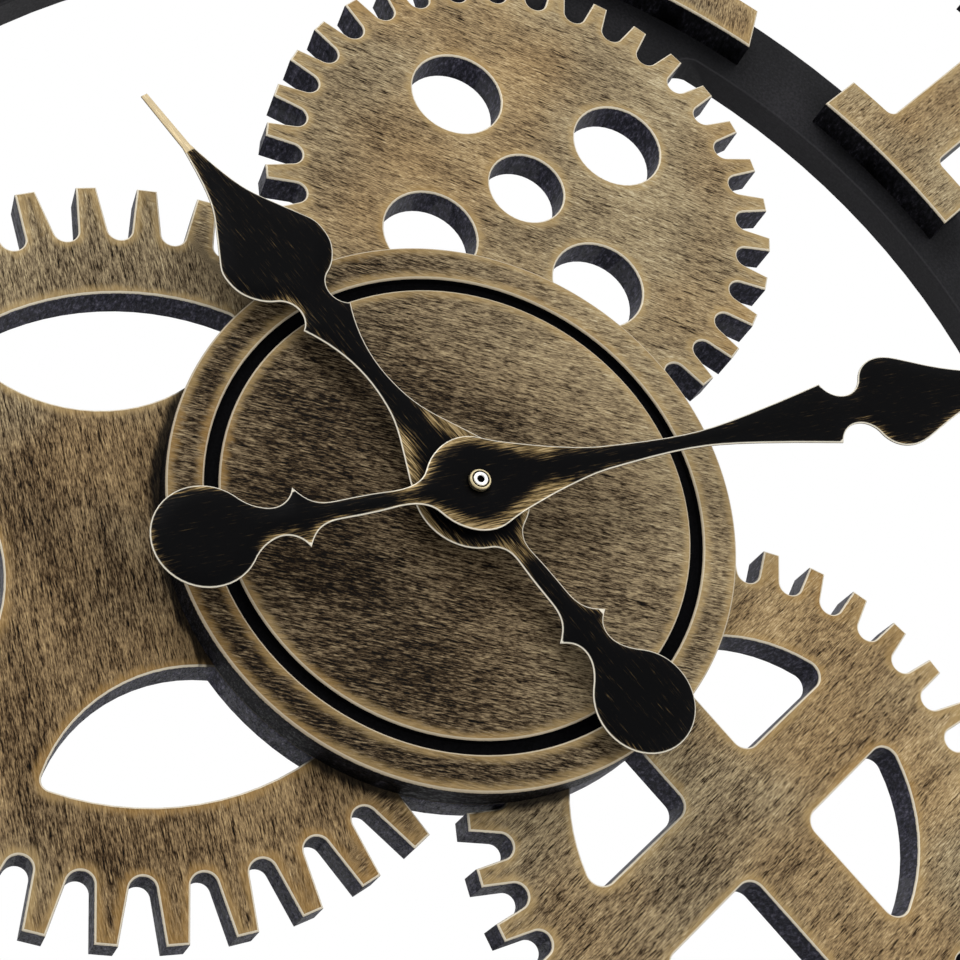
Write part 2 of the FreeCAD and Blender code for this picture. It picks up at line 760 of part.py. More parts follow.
def hand_edges(length, half_width, centre_share, stretches, needle):
    """Closed outline: the round tail, the same stretches on both sides and a blunt needle tip."""
    edges = [tail_arc(stretches[0][1][0], length, half_width, centre_share)]
    for kind, shares in stretches:
        points = scaled(shares, length, half_width)
        for side in (points, mirrored(points)):
            edges.append(smooth(side) if kind == "smooth" else Part.Arc(*side))
    neck = scaled(stretches[-1][1], length, half_width)[-1]
    tip = Vector(length, needle, 0)
    edges.append(line(neck, tip))
    edges.append(line(tip, Vector(tip.x, -tip.y, 0)))
    edges.append(line(Vector(tip.x, -tip.y, 0), Vector(neck.x, -neck.y, 0)))
    return edges


def make_hand(name, centre_share, stretches, bore):
    """Flat sheet hand with a collet behind it that grips its shaft."""
    length = size(name + "_length")
    half_width = size(name + "_half_width")
    body = new_body(name)
    sketch = new_sketch(body, name + "_outline", depth="sizes.%s_depth" % name)
    draw(sketch, hand_edges(length, half_width, centre_share, stretches, half_width * NEEDLE_SHARE))
    pad(body, sketch, name + "_sheet", "sizes.hand_thick")
    sketch = new_sketch(body, name + "_collet_outline", depth="sizes.%s_depth" % name)
    draw_circle(sketch, "sizes.hand_collet_radius")
    pad(body, sketch, name + "_collet", "sizes.hand_collet_height", reverse=True)
    sketch = new_sketch(body, name + "_bore_outline",
                        depth="sizes.%s_depth - sizes.hand_collet_height" % name)
    draw_circle(sketch, bore)
    pocket(body, sketch, name + "_bore", "sizes.hand_collet_height + sizes.hand_thick")
    body.Placement = FreeCAD.Placement(Vector(0, 0, 0),
                                       FreeCAD.Rotation(Vector(0, 1, 0), -size(name + "_angle")))


def make_hands():
    make_hand("hour_hand", HOUR_TAIL_CENTRE_SHARE,
              (("smooth", HOUR_NECK_SHARES), ("smooth", HOUR_TAIL_BAR_SHARES), ("arc", HOUR_EYE_SHARES),
               ("smooth", HOUR_BAR_SHARES), ("arc", HOUR_NOTCH_SHARES), ("smooth", HOUR_SPADE_SHARES)),
              "sizes.hour_tube_radius")
    make_hand("minute_hand", MINUTE_TAIL_CENTRE_SHARE,
              (("smooth", MINUTE_NECK_SHARES), ("smooth", MINUTE_TAIL_BAR_SHARES),
               ("arc", MINUTE_NOTCH_SHARES), ("smooth", MINUTE_SPADE_SHARES)),
              "sizes.minute_shaft_radius")


# Wheel train. Every wheel and pinion meshes with one partner; the modules follow from the distances.
ADDENDUM_SHARE = 0.7
DEDENDUM_SHARE = 1.05
TIP_WIDTH_SHARE = 0.2
ROOT_WIDTH_SHARE = 0.6


def module(distance, *teeth):
    return 2 * distance / sum(teeth)


def tooth_polygon(teeth, tooth_module, first_tooth):
    """Small moulded teeth with straight flanks."""
    pitch = 360.0 / teeth
    tip = tooth_module * (teeth / 2 + ADDENDUM_SHARE)
    root = tooth_module * (teeth / 2 - DEDENDUM_SHARE)
    half_tip = TIP_WIDTH_SHARE / 2 * pitch
    half_root = ROOT_WIDTH_SHARE / 2 * pitch
    points = []
    for number in range(teeth):
        angle = first_tooth + number * pitch
        points += [polar(root, angle - half_root), polar(tip, angle - half_tip),
                   polar(tip, angle + half_tip), polar(root, angle + half_root)]
    return polygon(points)


def add_teeth(body, name, teeth, tooth_module, first_tooth, level, thick):
    """Toothed disc round the body's axis, centred on a level. Level and thickness are names of cells."""
    sketch = new_sketch(body, name + "_teeth", depth="sizes.%s - sizes.%s / 2" % (level, thick))
    draw(sketch, tooth_polygon(teeth, tooth_module, first_tooth))
    pad(body, sketch, name, "sizes." + thick)


arbor = size("arbor_radius")
bearing = arbor + size("pivot_clearance")
arbor_back = cover_front - size("bearing_depth") + size("pivot_clearance")
arbor_front = case_inner_front + size("bearing_depth") - size("pivot_clearance")
minute_shaft_back = size("centre_level") - size("minute_shaft_tail")
minute_socket_front = minute_shaft_back + size("minute_shaft_socket")
CENTRE = Vector(0, 0, 0)
THIRD = polar(size("train_distance"), size("train_angle"))
INTERMEDIATE = polar(size("intermediate_distance"), size("rotor_angle"))
ROTOR = INTERMEDIATE + polar(size("rotor_distance"), size("rotor_angle"))
MOTION = polar(size("motion_distance"), size("motion_angle"))


def facing(angle, teeth=None):
    """First tooth of a wheel that points at its partner, or of a pinion whose gap does."""
    return angle if teeth is None else angle + 180.0 + 180.0 / teeth


def make_train():
    """Rotor pinion, intermediate, second, third and centre wheels."""
    train_angle = size("train_angle")
    rotor_angle = size("rotor_angle")
    slow = module(size("train_distance"), count("centre_wheel_teeth"), count("third_pinion_teeth"))
    fast = module(size("train_distance"), count("third_wheel_teeth"), count("second_pinion_teeth"))
    second = module(size("intermediate_distance"), count("second_wheel_teeth"),
                    count("intermediate_pinion_teeth"))
    first = module(size("rotor_distance"), count("intermediate_wheel_teeth"), count("rotor_pinion_teeth"))
    second_front = minute_socket_front - size("socket_play")
    body = turned("second_wheel", ring_profile(0, arbor, arbor_back, second_front))
    add_teeth(body, "second_wheel_disc", count("second_wheel_teeth"), second, facing(rotor_angle),
              "second_level", "wheel_thick")
    add_teeth(body, "second_pinion", count("second_pinion_teeth"), fast,
              facing(train_angle - 180.0, count("second_pinion_teeth")), "third_level", "pinion_thick")

    body = turned("third_wheel", ring_profile(0, arbor, arbor_back, arbor_front), THIRD)
    add_teeth(body, "third_wheel_disc", count("third_wheel_teeth"), fast, facing(train_angle - 180.0),
              "third_level", "wheel_thick")
    add_teeth(body, "third_pinion", count("third_pinion_teeth"), slow,
              facing(train_angle, count("third_pinion_teeth")), "centre_level", "pinion_thick")

    body = turned("intermediate_wheel", ring_profile(0, arbor, arbor_back, arbor_front), INTERMEDIATE)
    add_teeth(body, "intermediate_wheel_disc", count("intermediate_wheel_teeth"), first, facing(rotor_angle),
              "intermediate_level", "wheel_thick")
    add_teeth(body, "intermediate_pinion", count("intermediate_pinion_teeth"), second,
              facing(rotor_angle, count("intermediate_pinion_teeth")), "second_level", "pinion_thick")

    body = turned("rotor_pinion", ring_profile(0, arbor, arbor_back, arbor_front), ROTOR)
    add_teeth(body, "rotor_pinion_teeth_pad", count("rotor_pinion_teeth"), first,
              facing(rotor_angle, count("rotor_pinion_teeth")), "intermediate_level", "pinion_thick")

    half_magnet = size("magnet_thick") / 2
    turned("rotor_magnet", ring_profile(arbor, size("magnet_radius"), size("magnet_level") - half_magnet,
                                        size("magnet_level") + half_magnet), ROTOR)

    body = new_body("centre_wheel")
    add_teeth(body, "centre_wheel_disc", count("centre_wheel_teeth"), slow, facing(train_angle),
              "centre_level", "wheel_thick")
    drill(body, "centre_wheel_bore", [CENTRE], size("minute_shaft_radius") + size("tube_clearance"),
          "sizes.wheel_thick", "sizes.centre_level - sizes.wheel_thick / 2")


def make_motion_work():
    """Minute shaft, motion wheel with its set knob, and the hour wheel with its tube."""
    motion_angle = size("motion_angle")
    minute = module(size("motion_distance"), count("minute_pinion_teeth"), count("motion_wheel_teeth"))
    hour = module(size("motion_distance"), count("motion_pinion_teeth"), count("hour_wheel_teeth"))
    shaft = size("minute_shaft_radius")
    hand_front = size("minute_hand_depth") + size("hand_thick")
    stud_front = hand_front + size("shaft_nut_height") / 2
    stud = size("shaft_nut_bore")
    body = turned("minute_shaft", [
        (0, minute_socket_front), (bearing, minute_socket_front), (bearing, minute_shaft_back),
        (shaft, minute_shaft_back), (shaft, hand_front), (stud, hand_front), (stud, stud_front),
        (0, stud_front)])
    add_teeth(body, "minute_pinion", count("minute_pinion_teeth"), minute,
              facing(motion_angle - 180.0, count("minute_pinion_teeth")), "motion_level", "pinion_thick")

    nut = size("shaft_nut_radius")
    bevel = size("shaft_nut_bevel")
    nut_front = hand_front + size("shaft_nut_height")
    turned("shaft_nut", [(stud, hand_front), (nut, hand_front), (nut, nut_front - bevel),
                         (nut - bevel, nut_front), (stud, nut_front)])

    knob_front = case_back - size("knob_gap")
    knob_back = knob_front - size("knob_thick")
    knob_floor = knob_back + size("knob_gap")
    body = turned("motion_wheel", ring_profile(0, arbor, knob_floor, arbor_front), MOTION)
    add_teeth(body, "motion_wheel_disc", count("motion_wheel_teeth"), minute, facing(motion_angle - 180.0),
              "motion_level", "wheel_thick")
    add_teeth(body, "motion_pinion", count("motion_pinion_teeth"), hour,
              facing(motion_angle, count("motion_pinion_teeth")), "hour_level", "pinion_thick")

    body = turned("set_knob", [
        (0, knob_back), (size("knob_radius"), knob_back), (size("knob_radius"), knob_front),
        (arbor, knob_front), (arbor, knob_floor), (0, knob_floor)], MOTION)
    grips = count("knob_grips")
    sketch = new_sketch(body, "grip_circles", depth=CASE_BACK + " - sizes.knob_gap - sizes.knob_thick")
    draw(sketch, circles([polar(size("knob_radius"), number * 360 / grips) for number in range(grips)],
                         size("knob_grip_radius")))
    pocket(body, sketch, "grips", "sizes.knob_thick")

    tube = size("hour_tube_radius")
    bore = shaft + size("tube_clearance")
    tube_back = size("hour_level") - size("pinion_thick") / 2
    tube_front = size("hour_hand_depth") + size("hand_thick") + size("hour_tube_stand")
    body = turned("hour_wheel", ring_profile(bore, tube, tube_back, tube_front))
    add_teeth(body, "hour_wheel_disc", count("hour_wheel_teeth"), hour, facing(motion_angle),
              "hour_level", "wheel_thick")
    sketch = new_sketch(body, "hour_bore_circle", depth="sizes.hour_level - sizes.wheel_thick / 2")
    draw(sketch, circles([CENTRE], bore))
    pocket(body, sketch, "hour_bore", "sizes.wheel_thick")


# Bushing and what it clamps.
def make_bushing():
    bush = size("bush_radius")
    clear = bush + size("bush_clearance")
    flange_back = case_inner_front - size("bush_flange_thick")
    turned("threaded_bush", [
        (size("bush_bore_radius"), flange_back), (size("bush_flange_radius"), flange_back),
        (size("bush_flange_radius"), case_inner_front), (bush, case_inner_front),
        (bush, disc_front + size("bush_reach")), (size("bush_bore_radius"), disc_front + size("bush_reach"))])
    turned("seal_washer", ring_profile(clear, size("seal_radius"), case_front, disc_back))
    washer_front = disc_front + size("washer_thick")
    turned("brass_washer", ring_profile(clear, size("washer_radius"), disc_front, washer_front))
    body = new_body("hex_nut")
    sketch = new_sketch(body, "hex_outline", depth=DISC_FRONT + " + sizes.washer_thick")
    across = size("hex_nut_flats") / math.sqrt(3)
    draw(sketch, polygon([polar(across, number * 60) for number in range(6)]))
    pad(body, sketch, "hex", "sizes.hex_nut_height")
    sketch = new_sketch(body, "nut_bore_circle", depth=DISC_FRONT + " + sizes.washer_thick")
    draw_circle(sketch, "sizes.bush_radius")
    pocket(body, sketch, "nut_bore", "sizes.hex_nut_height")


# Movement case, battery bay and what lies in it.
def rounded_square(side, corner):
    """Outline of a square with round corners."""
    half = side / 2
    short = half - corner
    middle = short + corner * math.sqrt(0.5)
    edges = []
    for quarter in range(4):
        turn = FreeCAD.Rotation(Vector(0, 0, 1), quarter * 90)
        spots = [turn.multVec(Vector(x, y, 0))
                 for x, y in ((half, -short), (half, short), (middle, middle), (short, half))]
        edges.append(line(spots[0], spots[1]))
        edges.append(Part.Arc(*spots[1:]))
    return edges


battery_z = -size("battery_drop")
bay_top = battery_z + size("battery_radius") + size("battery_clearance")
bay_half = size("case_side") / 2 - size("case_wall")
battery_depth = case_inner_front - size("battery_clearance") - size("battery_radius")
rotor_hole = size("magnet_radius") + size("stator_gap")
stator_top = size("coil_z") + size("coil_length") / 2 + size("stator_arm")
stator_low = size("coil_z") - size("coil_length") / 2 - size("stator_arm")


def stator_posts():
    """Places of the two posts of the case that the stator plate lies on."""
    aside = size("coil_core_width") / 2 + size("stator_arm") / 2 + size("stator_post_radius")
    return [Vector(ROTOR.x - rotor_hole, stator_top, 0), Vector(size("coil_x") + aside, stator_low, 0)]


def make_case():
    body = new_body("movement_case")
    cover = CASE_BACK + " + sizes.case_wall"
    sketch = new_sketch(body, "case_outline", depth=cover)
    draw(sketch, rounded_square(size("case_side"), size("case_corner")))
    pad(body, sketch, "case_block", "sizes.case_thick - sizes.case_wall")
    sketch = new_sketch(body, "case_hollows", depth=cover)
    train_low = bay_top + size("bay_wall")
    draw(sketch, rectangle(Vector(0, (train_low + bay_half) / 2, 0), 2 * bay_half, bay_half - train_low))
    draw(sketch, rectangle(Vector(0, (bay_top - bay_half) / 2, 0), 2 * bay_half, bay_top + bay_half))
    pocket(body, sketch, "hollows", "sizes.case_thick - 2 * sizes.case_wall")
    inner_front = "2 * sizes.board_thick - sizes.seal_thick - sizes.case_wall"
    sketch = new_sketch(body, "stator_post_circles", depth="sizes.magnet_level + sizes.stator_thick / 2")
    draw(sketch, circles(stator_posts(), size("stator_post_radius")))
    pad(body, sketch, "stator_posts", inner_front + " - sizes.magnet_level - sizes.stator_thick / 2")
    drill(body, "front_bearings", [THIRD, INTERMEDIATE, ROTOR, MOTION], bearing,
          "sizes.bearing_depth", inner_front)
    drill(body, "bush_hole", [CENTRE], size("bush_radius") + size("bush_clearance"),
          "sizes.case_wall", inner_front)

    body = new_body("movement_back")
    sketch = new_sketch(body, "cover_outline", depth=CASE_BACK)
    draw(sketch, rounded_square(size("case_side"), size("case_corner")))
    pad(body, sketch, "cover_plate", "sizes.case_wall")
    sketch = new_sketch(body, "bay_mouth_outline", depth=CASE_BACK)
    mouth = 2 * (size("battery_radius") + size("battery_clearance"))
    draw(sketch, rectangle(Vector(0, battery_z, 0), 2 * bay_half, mouth))
    pocket(body, sketch, "bay_mouth", "sizes.case_wall")
    drill(body, "back_bearings", [CENTRE, THIRD, INTERMEDIATE, ROTOR], bearing, "sizes.bearing_depth",
          CASE_BACK + " + sizes.case_wall - sizes.bearing_depth")
    drill(body, "knob_arbor_hole", [MOTION], bearing, "sizes.case_wall", CASE_BACK)


def primitive(kind, name, sizes, placement):
    """Part primitive whose sizes are expressions of the sheet."""
    item = doc.addObject("Part::" + kind, name)
    for prop, expression in sizes.items():
        item.setExpression(prop, expression)
    item.Placement = placement
    return item


def as_node(item, label):
    item.Label = label
    nodes.append(item)


def joined(label, items):
    """Several primitives as one node."""
    union = doc.addObject("Part::MultiFuse", label)
    union.Shapes = items
    as_node(union, label)


ALONG_X = FreeCAD.Rotation(Vector(0, 1, 0), 90)
TO_VIEWER = FreeCAD.Rotation(Vector(1, 0, 0), 90)


def make_battery():
    start = -size("battery_length") / 2 - size("battery_nub_length") / 2
    body_end = start + size("battery_length")
    body = primitive("Cylinder", "battery_body", {
        "Radius": "sizes.battery_radius", "Height": "sizes.battery_length"},
        FreeCAD.Placement(Vector(start, -battery_depth, battery_z), ALONG_X))
    nub = primitive("Cylinder", "battery_nub", {
        "Radius": "sizes.battery_nub_radius", "Height": "sizes.battery_nub_length"},
        FreeCAD.Placement(Vector(body_end, -battery_depth, battery_z), ALONG_X))
    joined("battery", [body, nub])
    half_width = size("contact_width") / 2
    for label, wall, tip in (("contact_minus", -bay_half, start),
                             ("contact_plus", bay_half, body_end + size("battery_nub_length"))):
        inward = math.copysign(size("contact_thick"), -wall)
        low = min(wall, wall + inward)
        plate = primitive("Box", label + "_plate", {
            "Length": "sizes.contact_thick", "Width": "sizes.contact_width", "Height": "sizes.contact_width"},
            FreeCAD.Placement(Vector(low, -battery_depth - half_width, battery_z - half_width),
                              FreeCAD.Rotation()))
        reach = abs(tip - wall - inward)
        spring = doc.addObject("Part::Cone", label + "_spring")
        spring.setExpression("Radius1", "sizes.battery_nub_radius")
        spring.setExpression("Radius2", "sizes.battery_nub_radius / 2")
        spring.Height = reach
        spring.Placement = FreeCAD.Placement(
            Vector(wall + inward, -battery_depth, battery_z),
            FreeCAD.Rotation(Vector(0, 1, 0), math.copysign(90, -wall)))
        joined(label, [plate, spring])


def make_stator():
    """Plate round the rotor, with two arms that reach the ends of the coil's core."""
    body = new_body("stator")
    level = "sizes.magnet_level - sizes.stator_thick / 2"
    width = size("stator_arm")
    far = size("coil_x") - width
    column = ROTOR.x - rotor_hole
    sketch = new_sketch(body, "stator_rim_circle", depth=level)
    draw(sketch, circles([ROTOR], rotor_hole + size("stator_rim")))
    pad(body, sketch, "stator_round", "sizes.stator_thick")
    arms = {"low_arm": rectangle(Vector((ROTOR.x + far) / 2, stator_low, 0), ROTOR.x - far, width),
            "column": rectangle(Vector(column, (ROTOR.y + stator_top) / 2, 0), width, stator_top - ROTOR.y),
            "top_arm": rectangle(Vector((column + width / 2 + far) / 2, stator_top, 0),
                                 column + width / 2 - far, width)}
    for name, outline in arms.items():
        sketch = new_sketch(body, name + "_outline", depth=level)
        draw(sketch, outline)
        pad(body, sketch, name, "sizes.stator_thick")
    drill(body, "rotor_hole", [ROTOR], rotor_hole, "sizes.stator_thick", level)


def make_coil():
    """Flat core on the stator's arms, with the bobbin and its winding round it."""
    core_back = size("magnet_level") + size("stator_thick") / 2
    core_middle = core_back + size("coil_core_thick") / 2
    corner = Vector(size("coil_x") - size("coil_core_width") / 2, -core_back - size("coil_core_thick"),
                    stator_low - size("stator_arm") / 2)
    as_node(primitive("Box", "coil_core", {
        "Length": "sizes.coil_core_width", "Width": "sizes.coil_core_thick",
        "Height": "sizes.coil_length + 3 * sizes.stator_arm"},
        FreeCAD.Placement(corner, FreeCAD.Rotation())), "coil_core")
    bore = size("coil_bore_radius")
    wall = bore + size("coil_flange_thick") / 2
    flange = size("coil_flange_radius")
    end = size("coil_length") / 2
    inner = end - size("coil_flange_thick")
    profiles = {
        "coil_bobbin": [(bore, -end), (flange, -end), (flange, -inner), (wall, -inner), (wall, inner),
                        (flange, inner), (flange, end), (bore, end)],
        "coil_winding": [(wall, -inner), (size("coil_radius"), -inner), (size("coil_radius"), inner),
                         (wall, inner)]}
    for label, profile in profiles.items():
        body = new_body(label)
        revolve(body, [Vector(radius, along, 0) for radius, along in profile], "XZ_Plane")
        body.Placement = FreeCAD.Placement(Vector(size("coil_x"), -core_middle, size("coil_z")),
                                           FreeCAD.Rotation())


def make_circuit():
    """Circuit board on the case's front wall, with the quartz lying on it."""
    corner = Vector(size("circuit_x") - size("circuit_width") / 2, -case_inner_front,
                    size("circuit_z") - size("circuit_height") / 2)
    as_node(primitive("Box", "circuit_board", {
        "Length": "sizes.circuit_width", "Width": "sizes.circuit_thick", "Height": "sizes.circuit_height"},
        FreeCAD.Placement(corner, FreeCAD.Rotation())), "circuit_board")
    start = Vector(size("circuit_x") - size("quartz_length") / 2,
                   -case_inner_front + size("circuit_thick") + size("quartz_radius"), size("circuit_z"))
    as_node(primitive("Cylinder", "quartz_crystal", {
        "Radius": "sizes.quartz_radius", "Height": "sizes.quartz_length"},
        FreeCAD.Placement(start, ALONG_X)), "quartz_crystal")


# Fasteners.
def screw(name, place, start, radius, head_radius, head_height, length):
    """Countersunk wood screw driven from the back. Sizes are names of cells; start is a depth."""
    at = Vector(place.x, -start, place.y)
    head = primitive("Cone", name + "_head", {
        "Radius1": "sizes." + head_radius, "Radius2": "sizes." + radius, "Height": "sizes." + head_height},
        FreeCAD.Placement(at, TO_VIEWER))
    shank = primitive("Cylinder", name + "_shank", {
        "Radius": "sizes." + radius, "Height": "sizes.%s - 2 * sizes.%s" % (length, radius)},
        FreeCAD.Placement(at, TO_VIEWER))
    tip = primitive("Cone", name + "_tip", {
        "Radius1": "sizes." + radius, "Radius2": "sizes.%s / 4" % radius, "Height": "2 * sizes." + radius},
        FreeCAD.Placement(at - Vector(0, size(length) - 2 * size(radius), 0), TO_VIEWER))
    return [head, shank, tip]


def screws(label, places, start, *cells):
    items = []
    for number, place in enumerate(places):
        items += screw("%s_%d" % (label, number), place, start, *cells)
    joined(label, items)


def make_fasteners():
    wood_screw = ("screw_radius", "screw_head_radius", "screw_head_height")
    sink = size("screw_sink")
    screws("lug_screws", lug_screw_places(), sink, *wood_screw, "lug_screw_length")
    screws("disc_screws", disc_screw_places(), gear_back + sink, *wood_screw, "disc_screw_length")
    screws("hanger_screws", hanger_screw_places(), 0, "hanger_screw_radius", "hanger_screw_head_radius",
           "hanger_thick", "hanger_screw_length")


def make_hanger():
    """Keyhole plate let into the back of the ring."""
    plate = doc.addObject("PartDesign::Body", "hanger_blank")
    sketch = new_sketch(plate, "plate_outline")
    draw(sketch, rectangle(hanger_centre(), size("hanger_width"), size("hanger_height")))
    pad(plate, sketch, "plate", "sizes.hanger_thick")
    rise = Vector(0, size("hanger_slot_rise") / 2, 0)
    sketch = new_sketch(plate, "key_hole_circle")
    draw(sketch, circles([hanger_centre() - rise], size("hanger_head_radius")))
    pocket(plate, sketch, "key_hole", "sizes.hanger_thick")
    half = size("hanger_slot_width") / 2
    low = hanger_centre() - rise
    high = hanger_centre() + rise
    sketch = new_sketch(plate, "key_slot_outline")
    side = Vector(half, 0, 0)
    draw(sketch, [line(low - side, low + side), line(low + side, high + side),
                  Part.Arc(high + side, high + Vector(0, half, 0), high - side),
                  line(high - side, low - side)])
    pocket(plate, sketch, "key_slot", "sizes.hanger_thick")
    sinks = []
    for number, place in enumerate(hanger_screw_places()):
        sinks.append(primitive("Cone", "hanger_sink_%d" % number, {
            "Radius1": "sizes.hanger_screw_head_radius + sizes.screw_clearance",
            "Radius2": "sizes.hanger_screw_radius + sizes.screw_clearance",
            "Height": "sizes.hanger_thick"},
            FreeCAD.Placement(Vector(place.x, 0, place.y), TO_VIEWER)))
    tool = doc.addObject("Part::MultiFuse", "hanger_sinks")
    tool.Shapes = sinks
    cut = doc.addObject("Part::Cut", "hanger_plate")
    cut.Base = plate
    cut.Tool = tool
    as_node(cut, "hanger_plate")


make_ring()
make_gear_board()
make_disc()
for hour in range(1, 13):
    make_numeral(hour)
make_hands()
make_bushing()
make_case()
make_train()
make_motion_work()
make_battery()
make_stator()
make_coil()
make_circuit()
make_hanger()
make_fasteners()

doc.recompute()
for item in doc.Objects:
    if "Invalid" in item.State or "Error" in item.State:
        raise RuntimeError("%s failed: %s" % (item.Label, item.State))
for node in nodes:
    if node.Shape.isNull() or not node.Shape.isValid():
        raise RuntimeError("%s has no valid shape" % node.Label)
for node in nodes:
    node.Shape.exportStep(os.path.join("parts", node.Label + ".step"))
    box = node.Shape.BoundBox
    print("%-18s %d solids  %9.1f mm3  x %.1f %.1f  y %.1f %.1f  z %.1f %.1f" % (
        node.Label, len(node.Shape.Solids), node.Shape.Volume,
        box.XMin, box.XMax, box.YMin, box.YMax, box.ZMin, box.ZMax))
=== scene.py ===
"""Wooden gear clock: the looks, built round the fixed frame in its own metres.

+Z is up and the dial faces -Y. Front faces are taken from the frame's own pieces, rounded at their
edges and given a dense surface whose points know how far they lie from an edge.
"""

import math
from collections import Counter

import bmesh
import bpy
import numpy as np
from mathutils import Matrix, Vector, geometry, kdtree


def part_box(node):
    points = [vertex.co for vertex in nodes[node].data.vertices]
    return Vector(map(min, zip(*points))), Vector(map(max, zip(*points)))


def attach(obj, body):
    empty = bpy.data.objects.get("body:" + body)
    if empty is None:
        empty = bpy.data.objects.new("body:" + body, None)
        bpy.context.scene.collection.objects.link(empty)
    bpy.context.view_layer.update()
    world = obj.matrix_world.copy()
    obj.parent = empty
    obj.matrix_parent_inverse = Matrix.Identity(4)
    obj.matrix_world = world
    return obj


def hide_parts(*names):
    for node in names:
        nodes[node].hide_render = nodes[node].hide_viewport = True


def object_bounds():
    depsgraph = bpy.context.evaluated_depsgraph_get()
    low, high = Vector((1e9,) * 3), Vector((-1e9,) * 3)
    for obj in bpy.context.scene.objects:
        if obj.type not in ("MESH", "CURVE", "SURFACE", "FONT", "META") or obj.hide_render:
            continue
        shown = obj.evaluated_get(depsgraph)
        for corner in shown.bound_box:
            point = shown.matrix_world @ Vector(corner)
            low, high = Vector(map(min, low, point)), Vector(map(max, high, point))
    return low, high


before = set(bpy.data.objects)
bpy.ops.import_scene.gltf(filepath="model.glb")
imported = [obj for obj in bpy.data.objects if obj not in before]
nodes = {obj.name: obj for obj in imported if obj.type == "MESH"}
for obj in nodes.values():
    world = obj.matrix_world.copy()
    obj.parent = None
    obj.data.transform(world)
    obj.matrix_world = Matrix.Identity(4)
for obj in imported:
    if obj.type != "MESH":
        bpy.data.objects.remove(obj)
cad_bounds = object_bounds()

MM = 0.001

# Depths of the front faces, from the wall towards the viewer.
RING_FRONT = 10.0 * MM
GEAR_FRONT = 20.0 * MM
DISC_FRONT = 30.0 * MM
HOUR_FRONT = 38.2 * MM
MINUTE_FRONT = 43.6 * MM

# Shape of the painted boards and hands. The top of every wall, as deep as WALL_TOP, is pressed down
# under the rounded rim.
RING_ARCS = 6
BEVEL_STEPS = 3
BOARD_BEVEL = 0.7 * MM
BOARD_SPACING = 2.2 * MM
WALL_TOP = 1.15 * MM

# The disc's groove lies within a radius. Its black paint starts GROOVE_TOP under the disc's front and
# ends at GROOVE_BOTTOM from the wall.
GROOVE_LIMIT = 72 * MM
GROOVE_TOP = 0.9 * MM
GROOVE_BOTTOM = 21 * MM

# Shape of the pressed hands, and where their needles start from the dial's middle.
HAND_BEVEL = 0.16 * MM
HAND_SPACING = 1.2 * MM
HAND_RISE = 0.7 * MM
HAND_SHOULDER = 5.0 * MM
HOUR_NEEDLE = 116.7 * MM
MINUTE_NEEDLE = 178 * MM

# Limits and steps of the mesh work.
FLAT_TOLERANCE = 0.02 * MM
WELD = 0.005 * MM
SEAM_TURN = 1e-5
SEAM_SLANT = 1e-6
SEAM_TILT = 0.1
TINY = 1e-12
CLOSE = 1e-9
GRID_MARGIN = 0.45
OUTLINE_STEP = 0.4 * MM
MOST_CUTS = 60
SHORTEST_NORMAL = 0.9
POINTS_AT_ONCE = 4000
LATHE_SIDES = 96
SHARP_ANGLE = math.radians(38)

# Angles that the boards and the hands were brushed at, and the bearings in degrees, from the
# dial's right and counted to its top, where each gear starts.
TOP_GEAR_BRUSH = math.radians(2)
LEFT_GEAR_BRUSH = math.radians(-60)
RIGHT_GEAR_BRUSH = math.radians(60)
DISC_BRUSH = math.radians(9)
HOUR_ANGLE = math.radians(145.9)
MINUTE_ANGLE = math.radians(34.2)
TOP_GEAR_FROM = 30
LEFT_GEAR_FROM = 150
RIGHT_GEAR_FROM = 270

# Paints. NOISE_MEAN is the mean of the gold's weighted noises, and painted light makes the dial
# lighter towards the upper right. No piece reaches as far out as FAR.
NOISE_MEAN = 1.235
PAINTED_LIGHT_DIRECTION = (0.69, 0.0, 0.72)
BLUISH_WALLS = ("14141b", "292934", "494757", "7f7d88")
# The walls' tones again, painted near-black as shade, for the numerals and the disc.
SHADED_WALLS = ("08080a", "131316", "232228", "45434a")
TURNED = (0.5 * MM, 0.12 * MM, 0.5 * MM)
FROM_WALL = (0.0, -1.0, 0.0)
SHAFT_END = 43.9 * MM
FAR = 1.0

# Floor and sky. Far out the floor fades to white, where the lamps don't reach it.
FLOOR_SIZE = 6.0
FLOOR_FADE = (0.55, 1.3)
SKY_LIGHT = (0.42, 0.42, 0.44, 1.0)
SKY_SEEN = (1.0, 1.0, 1.0, 1.0)

# The camera stands close, below and to the left, and looks up at the dial.
CAMERA_PLACE = (-0.0758, -0.4685, -0.2472)
CAMERA_RIGHT = Vector((0.9225, -0.3037, 0.2383))
CAMERA_UP = Vector((-0.3545, -0.4227, 0.8341))
CAMERA_BACK = Vector((-0.1526, -0.8539, -0.4976))
CAMERA_LENS = 74.6
CAMERA_NEAR = 10 * MM
SENSOR = 36.0

# The nut is a turned cup: a pale rim, a gap and a bright middle with a hole, the gap and the hole
# painted black as shade. Each row has a radius and a depth in millimetres, and the material of the
# stretch after it.
BRIGHT, RIM, HOLLOW_SHADE = range(3)
NUT_PROFILE = [
    (0.90, 43.60, HOLLOW_SHADE), (0.90, 45.00, BRIGHT), (1.02, 45.20, BRIGHT), (1.20, 45.28, BRIGHT),
    (1.45, 45.30, BRIGHT), (1.75, 45.25, BRIGHT), (1.92, 45.05, HOLLOW_SHADE), (1.95, 44.50, HOLLOW_SHADE),
    (2.20, 44.50, HOLLOW_SHADE), (2.22, 44.95, RIM), (2.32, 45.10, RIM), (2.52, 45.12, RIM),
    (2.75, 44.95, RIM), (2.90, 44.60, RIM), (2.90, 43.60, RIM),
]


